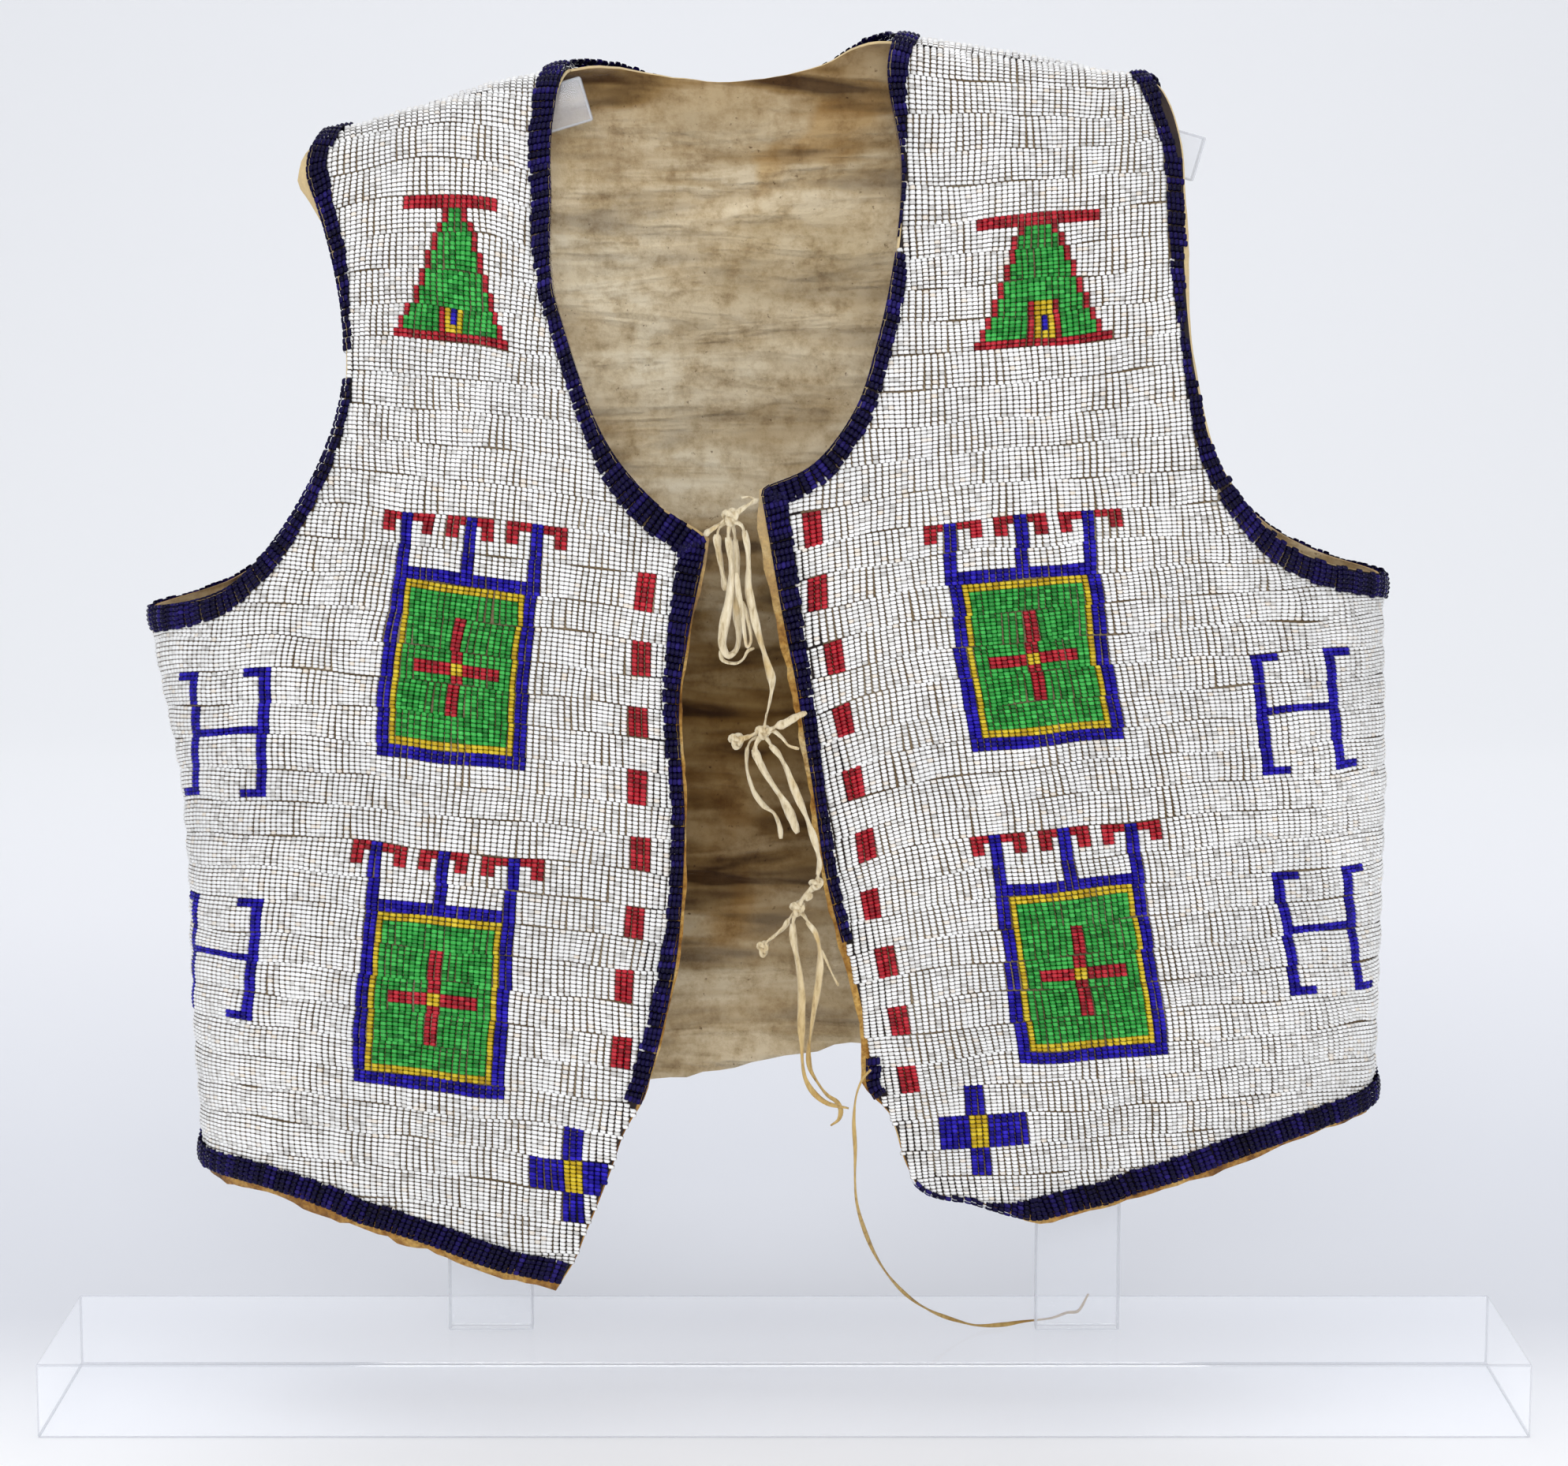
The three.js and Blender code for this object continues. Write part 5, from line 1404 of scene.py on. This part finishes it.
def hide_material():
    """Tanned hide, flesh side: cream to grey-brown in clouds, with specks and a nap, painted shade
    in its creases and painted shade by height.
    """
    nodes = Nodes("hide")
    place = nodes.place()
    clouds = nodes.noise(place, 13, 4, 0.55)
    mottle = nodes.noise(place, 120, 7, 0.72)
    ridges = nodes.noise(nodes.place((0.35, 0.35, 1.9)), 44, 3, 0.5, 0.35)
    shade_by_height = hide_shade(nodes, place, clouds)
    base = nodes.ramp(clouds, [
        (0.32, 216, 198, 164), (0.45, 238, 223, 194), (0.56, 252, 241, 216), (0.68, 255, 250, 234),
    ])
    suede = nodes.ramp(mottle, [
        (0.3, 178, 160, 132), (0.44, 228, 220, 204), (0.56, 252, 250, 244), (0.7, 255, 255, 252),
    ])
    # Painted shade in the creases: dark bands where the ridges' bump is low, strongest where the
    # shade by height is.
    crease_shade = nodes.ramp(ridges, [(0.35, 104, 80, 48), (0.45, 206, 190, 160), (0.55, 255, 255, 255)])
    specks = nodes.ramp(nodes.noise(place, 420, 3, 0.6), [(0.25, 112, 82, 48), (0.33, 1.0)])
    ochre = nodes.ramp(nodes.noise(place, 20, 3, 0.5, 0.5), [(0.6, 0.0), (0.7, 0.5)])
    colour = nodes.times(base, suede, 0.85)
    colour = nodes.times(colour, crease_shade, nodes.ramp(shade_by_height, [(0.0, 0.3), (0.8, 1.0)]))
    colour = nodes.times(colour, specks, 0.75)
    # Painted shade by height, deepest behind the open front.
    colour = nodes.times(colour, tone(150, 128, 88), shade_by_height)
    colour = nodes.times(colour, tone(226, 190, 104), ochre)
    relief = nodes.bump(mottle, 0.7, 0.0016, nodes.bump(ridges, 0.9, 0.008))
    relief = nodes.bump(nodes.noise(place, 1300, 3, 0.7), 0.5, 0.0003, relief)
    return nodes.finish(
        colour, Normal=relief, Roughness=0.92, Sheen_Weight=0.15, Sheen_Roughness=0.5,
        Specular_IOR_Level=0.2,
    )


def hide_shade(nodes, place, clouds):
    """Painted shade on the hide by height: most behind the open front, least under the neck."""
    wander = nodes.node("ShaderNodeMath", operation="MULTIPLY_ADD")
    for socket, value in zip(wander.inputs, (clouds, 0.12, nodes.part(place, "Z"))):
        nodes.give(socket, value)
    return nodes.ramp(wander.outputs[0], [
        (0.16, 0.15), (0.2, 0.35), (0.24, 0.8), (0.29, 1.0), (0.345, 0.75), (0.38, 0.2),
        (0.41, 0.0), (0.46, 0.0), (0.48, 0.4), (0.51, 0.8),
    ])


def edge_material():
    """The raw edge of the hide: ochre where it was smoked, worn pale and brown in patches."""
    nodes = Nodes("hide_edge")
    place = nodes.place()
    fibres = nodes.noise(place, 700, 4, 0.7)
    colour = nodes.ramp(nodes.noise(place, 60, 4, 0.6), [
        (0.34, 112, 72, 24), (0.46, 176, 128, 58), (0.56, 206, 166, 92), (0.68, 226, 202, 150),
    ])
    nap = nodes.ramp(fibres, [(0.3, 160, 132, 92), (0.6, 1.0)])
    clean = nodes.ramp(nodes.part(place, "Z"), [(0.27, 0.0), (0.33, 0.75)])
    return nodes.finish(
        nodes.mix(clean, nodes.times(colour, nap, 0.9), tone(222, 202, 158)),
        Normal=nodes.bump(fibres, 0.8, 0.0005), Roughness=0.95, Sheen_Weight=0.1,
        Specular_IOR_Level=0.2,
    )


def sewn_and_shade_material(name, dark, middle, light):
    """The beaded side of the hide: thread in the crevices and painted shade there, in three tones.
    """
    nodes = Nodes(name)
    place = nodes.place()
    stops = [(0.32, *dark), (0.5, *middle), (0.68, *light)]
    return nodes.finish(
        nodes.ramp(nodes.noise(place, 45, 5, 0.6), stops),
        Normal=nodes.bump(nodes.noise(place, 900, 3), 0.4, 0.0004), Roughness=0.95,
    )


def thong_material():
    """Cut hide thong: cream fibres with painted shade in their creases and a few ochre stains,
    browner low down.
    """
    nodes = Nodes("thong")
    place = nodes.place()
    fibres = nodes.noise(nodes.place((3.0, 3.0, 0.7)), 260, 5, 0.65)
    # Fibre tone, darker where the fibres' bump is low: partly the fibres' own tone, partly painted
    # crease shade.
    base = nodes.ramp(fibres, [(0.28, 150, 128, 92), (0.46, 206, 190, 155), (0.7, 228, 216, 188)])
    stain = nodes.ramp(nodes.noise(place, 60, 3), [(0.55, 255, 255, 255), (0.72, 226, 196, 110)])
    handled = nodes.ramp(nodes.part(place, "Z"), [
        (0.05, 206, 182, 122), (0.13, 226, 204, 150), (0.19, 1.0),
    ])
    return nodes.finish(
        nodes.times(nodes.times(base, stain, 0.8), handled),
        Normal=nodes.bump(fibres, 0.6, 0.0006), Roughness=0.8, Sheen_Weight=0.2,
    )


# How solid the acrylic seems, the painted glow that stands in for light through its clear body, and
# its screen grey.
ACRYLIC = named(("name", "alpha", "glow", "grey"), [
    # acrylic_edge, more solid and greyer, paints the bright and dark reflection lines of the
    # polished edges.
    ("acrylic_edge", 0.6, 0.06, 204),
    ("acrylic_slab", 0.12, 0.38, 248),
    ("acrylic_sheet", 0.24, 0.16, 216),
])


def acrylic_material(name, alpha, glow, grey):
    """Clear cast acrylic, polished: mostly see-through, with the faintest cool cast and dust, and a
    painted glow.
    """
    nodes = Nodes(name)
    place = nodes.place()
    cool = (grey - 12, grey - 8, grey)
    clear = (grey - 3, grey - 1, grey + 4)
    return nodes.finish(
        nodes.ramp(nodes.noise(place, 5, 2), [(0.3, *cool), (0.7, *clear)]),
        Roughness=nodes.ramp(nodes.noise(place, 300, 3), [(0.45, 0.03), (0.75, 0.09)]),
        IOR=1.49, Alpha=alpha, Coat_Weight=0.3, Coat_Roughness=0.03,
        # Painted glow: the acrylic gives off light of its own.
        Emission_Color=tone(*cool), Emission_Strength=glow,
    )


# Where the stage's painted light and shade begin and end, in metres behind the vest.
TONES_FROM, TONES_TO = -0.5, 1.5


def stage_material():
    nodes = Nodes("studio")
    away = nodes.node("ShaderNodeMapRange")
    nodes.give(away.inputs["Value"], nodes.part(nodes.place(), "Y"))
    nodes.give(away.inputs["From Min"], TONES_FROM)
    nodes.give(away.inputs["From Max"], TONES_TO)
    # Painted light and shade on the floor: white in front of the vest, darker under and just behind
    # it, paler again towards the backdrop.
    tones = nodes.ramp(away.outputs["Result"], [
        (0.2, 255, 255, 255), (0.3, 224, 226, 231), (0.42, 226, 228, 233), (0.7, 240, 241, 244),
        (1.0, 248, 249, 250),
    ])
    return nodes.finish(tones, Roughness=0.95, Specular_IOR_Level=0.1)


# ------------------------------------------------------------------ ties

THONG_SIDES = 8
THONG_STEP = 0.8
THONG_FLATNESS = 0.52
THONG_CREASE = 0.25
THONG_UV_WIDTH = 0.2

# How unevenly thongs are cut, by shares, and how often each wave comes, in radians a length.
TWIST_WAVE = (0.05, 9)
WIDTH_WAVE, SMALL_WIDTH_WAVE = (0.08, 17), (0.05, 41)
LATEST_START = 6
CUT_END = 0.55  # an end's width as a share of the full one
CUT_END_GROWTH = 6  # how fast it widens, in full widths a length


def strip_tube(name, path, diameter, twist, material, rng, slim=EVEN):
    """A cut thong: a flattened strip that turns on itself along its path.

    slim says how its width changes: shares of its length and of its diameter."""
    steps = np.gradient(path, axis=0)
    steps /= np.linalg.norm(steps, axis=1, keepdims=True)
    guide = np.array([0.0, 1.0, 0.0])
    side = np.cross(steps, guide)
    side /= np.linalg.norm(side, axis=1, keepdims=True)
    face = np.cross(side, steps)
    count = len(path)
    t = np.linspace(0, 1, count)
    turn = 2 * math.pi * twist * (t + TWIST_WAVE[0] * np.sin(TWIST_WAVE[1] * t))
    swell = 1 + WIDTH_WAVE[0] * np.sin(WIDTH_WAVE[1] * t + rng.uniform(0, LATEST_START))
    swell = swell + SMALL_WIDTH_WAVE[0] * np.sin(SMALL_WIDTH_WAVE[1] * t)
    taper = np.minimum(1, CUT_END + CUT_END_GROWTH * np.minimum(t, 1 - t))
    taper = taper * np.interp(t, *zip(*slim))
    places = []
    for k in range(THONG_SIDES):
        angle = 2 * math.pi * k / THONG_SIDES
        wide = 0.5 * diameter * math.cos(angle) * swell * taper
        thick = 0.5 * diameter * THONG_FLATNESS * math.sin(angle) * taper
        crease = 1 - THONG_CREASE * abs(math.cos(angle)) * (math.sin(angle) > 0)
        a = wide * np.cos(turn) - thick * crease * np.sin(turn)
        b = wide * np.sin(turn) + thick * crease * np.cos(turn)
        places.append(path + side * a[:, None] + face * b[:, None])
    rings = np.stack(places, axis=1)
    index = np.arange(count * THONG_SIDES).reshape(count, THONG_SIDES)
    after = np.roll(index, -1, axis=1)
    faces = np.stack([index[:-1], after[:-1], after[1:], index[1:]], axis=-1).reshape(-1, 4)
    caps = []
    for ring, turned in ((index[0], True), (index[-1], False)):
        for k in range(1, THONG_SIDES // 2):
            quad = [ring[k - 1], ring[k], ring[THONG_SIDES - 1 - k], ring[-k]]
            caps.append(quad[::-1] if turned else quad)
    faces = np.concatenate([faces, np.array(caps)])[:, ::-1]
    uv = np.stack(np.broadcast_arrays(
        np.linspace(0, 1, THONG_SIDES)[None, :] * THONG_UV_WIDTH, t[:, None]
    ), axis=-1)
    return make_mesh(name, rings, faces, material, uv)


KNOT_STEPS = 44
KNOT_START = 0.4
KNOT_DEPTH = 0.8
KNOT_STRAND = 0.62  # its thong's thickness, as a share of the knot's least half size
KNOT_THONG_WIDTH = 1.8  # its thong's width, in thicknesses
KNOT_TWIST = 2
STRAND_TWIST = 0.4


def knot_mesh(knot, material, rng):
    """A pulled overhand knot: its thong in a tight trefoil, with the strands that leave it."""
    turn = np.linspace(0, 2 * math.pi, KNOT_STEPS, endpoint=False) + KNOT_START
    size = np.array(knot["size"])
    strand = KNOT_STRAND * size.min()
    room = size - strand / 2
    path = np.stack([
        (np.sin(turn) + 2 * np.sin(2 * turn)) / 3,
        -np.sin(3 * turn) * KNOT_DEPTH,
        (np.cos(turn) - 2 * np.cos(2 * turn)) / 3,
    ], axis=1) * room + knot["at"]
    name = knot["name"] + "_wound"
    path = np.concatenate([path, path[:1]])
    parts = [strip_tube(name, path, strand * KNOT_THONG_WIDTH, KNOT_TWIST, material, rng)]
    for width, route in knot["strands"]:
        line = smooth_line(route, THONG_STEP)
        parts.append(strip_tube(name + "_strand", line, width, STRAND_TWIST, material, rng))
    return joined(parts)


def joined(parts):
    """Several objects as one, under the first one's name."""
    with bpy.context.temp_override(active_object=parts[0], selected_editable_objects=parts):
        bpy.ops.object.join()
    return parts[0]


def add_ties(material, rng):
    shapes, paths = {}, {}
    for thong in THONGS:
        path = smooth_line(ROUTES[thong["name"]], THONG_STEP)
        thing = strip_tube(
            thong["name"] + "_strip", path, thong["diameter"], thong["twist"], material, rng,
            thong["slim"],
        )
        shapes[thong["name"]] = add_piece(thing, "thong", thong["name"])
        paths[thong["name"]] = path
    for knot in KNOTS:
        shapes[knot["name"]] = add_piece(knot_mesh(knot, material, rng), "thong", knot["name"])
    for thong in THONGS:
        if thong["piece_of"]:
            continue
        name = thong["name"]
        path = paths[name] * MM
        others = [shapes[short["name"]] for short in THONGS if short["piece_of"] == name]
        others += [shapes[knot["name"]] for knot in KNOTS if knot["cord"] == name]


# ------------------------------------------------------------------ stand


def bevelled(name, outline, depth, materials):
    """A sheet of acrylic cut to an outline in x and z, centred on y = 0, with polished edges.

    The first material is its faces', and the second its polished edges'."""
    work = bmesh.new()
    near = [work.verts.new((x * MM, -depth / 2 * MM, z * MM)) for x, z in outline]
    face = work.faces.new(near)
    result = bmesh.ops.extrude_face_region(work, geom=[face])
    moved = [item for item in result["geom"] if isinstance(item, bmesh.types.BMVert)]
    bmesh.ops.translate(work, verts=moved, vec=(0, depth * MM, 0))
    bmesh.ops.recalc_face_normals(work, faces=work.faces)
    rounded = bmesh.ops.bevel(
        work, geom=list(work.edges), offset=POLISHED_EDGE * MM, segments=2, profile=0.5,
        affect="EDGES", clamp_overlap=True,
    )
    for face in rounded["faces"]:
        face.material_index = 1
    bmesh.ops.triangulate(work, faces=[f for f in work.faces if len(f.verts) > 4])
    mesh = bpy.data.meshes.new(name)
    work.to_mesh(mesh)
    work.free()
    thing = bpy.data.objects.new(name, mesh)
    bpy.context.scene.collection.objects.link(thing)
    for material in materials:
        mesh.materials.append(material)
    return thing


# The stand's uprights, each with the ends of its shoulder bar's top as (x, z).
SHOULDER_BARS = named(("node", "x", "left", "right"), [
    ("stand_post_right", -POST["x"], (-149, 426.6), (-67, 451)),
    ("stand_post_left", POST["x"], (41, 459), (139, 431)),
])


def add_stand():
    edge, slab, sheet = (acrylic_material(**look) for look in ACRYLIC)
    width, depth, height = BASE_SIZE
    outline = [(-width / 2, 0), (width / 2, 0), (width / 2, height), (-width / 2, height)]
    add_piece(bevelled("stand_base_slab", outline, depth, (slab, edge)), "acrylic", "stand_base")
    for bar in SHOULDER_BARS:
        (left_x, left_top), (right_x, right_top) = bar["left"], bar["right"]
        slope = (right_top - left_top) / (right_x - left_x)
        length = math.hypot(1, slope)
        shift = slope / length * SHOULDER_BAR_HEIGHT
        sink = -SHOULDER_BAR_HEIGHT / length

        def underside(at):
            return left_top + sink + slope * (at - left_x - shift)

        near, far = bar["x"] - POST["width"] / 2, bar["x"] + POST["width"] / 2
        foot = height + PIECE_GAP
        outline = [
            (near, foot), (far, foot), (far, underside(far)), (right_x + shift, right_top + sink),
            (right_x, right_top), (left_x, left_top), (left_x + shift, left_top + sink),
            (near, underside(near)),
        ]
        post = bevelled(bar["node"] + "_sheet", outline, POST["thickness"], (sheet, edge))
        add_piece(post, "acrylic", bar["node"])


# ------------------------------------------------------------------ camera, stage and light


# In metres, and the lens and its film in millimetres.
CAMERA = {"place": (0, -1.288, 0.416), "degrees_down": 8.1, "film": 36, "lens": 88.66, "near": 0.05}


def make_camera():
    data = bpy.data.cameras.new("camera")
    data.sensor_width = CAMERA["film"]
    data.lens = CAMERA["lens"]
    data.clip_start = CAMERA["near"]
    camera = bpy.data.objects.new("camera", data)
    camera.location = CAMERA["place"]
    camera.rotation_euler = (math.radians(90 - CAMERA["degrees_down"]), 0, 0)
    bpy.context.scene.collection.objects.link(camera)
    bpy.context.scene.camera = camera


# The stage, in metres: its front, where it bends up, the bend, its top and its half width.
STAGE_NEAR, STAGE_BEND, STAGE_RADIUS, STAGE_TOP, STAGE_HALF = -3.0, 1.6, 1.2, 4.0, 5.0
STAGE_STEPS = 16


def make_stage(material):
    """A pale floor that sweeps up into its backdrop."""
    profile = [(STAGE_NEAR, 0.0), (STAGE_BEND, 0.0)]
    for k in range(1, STAGE_STEPS + 1):
        turn = k / STAGE_STEPS * math.pi / 2
        profile.append((
            STAGE_BEND + STAGE_RADIUS * math.sin(turn), STAGE_RADIUS * (1 - math.cos(turn)),
        ))
    profile.append((STAGE_BEND + STAGE_RADIUS, STAGE_TOP))
    places, faces = [], []
    for y, z in profile:
        places += [(-STAGE_HALF / MM, y / MM, z / MM), (STAGE_HALF / MM, y / MM, z / MM)]
    for k in range(len(profile) - 1):
        faces.append([2 * k, 2 * k + 1, 2 * k + 3, 2 * k + 2])
    make_mesh("studio_sweep", places, faces, material, np.zeros((len(places), 2)))


# Soft boxes: where each is, what it points at, its two sizes and its power.
LIGHTS = named(("name", "at", "aim", "size", "watts"), [
    ("overhead", (0.0, -0.35, 1.9), (0, 0, 0.2), (2.6, 1.8), 15),
    ("left_bank", (-1.9, -1.4, 0.85), (0, 0, 0.2), (1.6, 1.6), 9.5),
    ("right_bank", (1.9, -1.5, 0.95), (0, 0, 0.2), (1.6, 1.6), 8),
    ("rear_bank", (0.0, 1.5, 1.9), (0, 0, 0.2), (2.2, 0.8), 5),
    ("front_fill", (0.0, -1.8, 0.72), (0, 0, 0.27), (0.7, 0.5), 11),
    ("backdrop_wash", (0.0, 0.7, 1.9), (0, 2.4, 0.8), (3.0, 0.8), 12),
])
WORLD = {"colour": (0.90, 0.92, 1.0, 1.0), "strength": 0.46}


def make_lights():
    for light in LIGHTS:
        data = bpy.data.lights.new(light["name"], "AREA")
        data.shape = "RECTANGLE"
        data.size, data.size_y = light["size"]
        data.energy = light["watts"]
        thing = bpy.data.objects.new(light["name"], data)
        thing.location = light["at"]
        direction = Vector(light["aim"]) - Vector(light["at"])
        thing.rotation_euler = direction.to_track_quat("-Z", "Y").to_euler()
        bpy.context.scene.collection.objects.link(thing)
    world = bpy.data.worlds.new("studio")
    world.use_nodes = True
    background = world.node_tree.nodes["Background"]
    background.inputs["Color"].default_value = WORLD["colour"]
    background.inputs["Strength"].default_value = WORLD["strength"]
    bpy.context.scene.world = world
    bpy.context.scene.view_settings.view_transform = "Standard"


# ------------------------------------------------------------------ making


def main():
    rng = np.random.RandomState(SEED)
    make_camera()
    add_ties(thong_material(), rng)
    add_stand()
    beads = {look["name"]: bead_material(**look) for look in BEAD_LOOKS}
    hide = (
        hide_material(),
        # Under the lanes: thread colour and painted shade between the beads.
        sewn_and_shade_material("hide_sewn", (104, 84, 58), (138, 118, 90), (172, 156, 130)),
        edge_material(),
        # Painted shade: a near-black sheet under the edgings.
        sewn_and_shade_material("hide_shaded", (26, 20, 22), (40, 32, 34), (62, 50, 44)),
    )
    for name, panel in PANELS.items():
        add_hide(name, panel, hide, rng)
        add_field(name, panel, beads, rng)
    for edging in EDGINGS:
        add_edging(edging, beads["beads_navy"], rng)
    make_stage(stage_material())
    make_lights()


main()
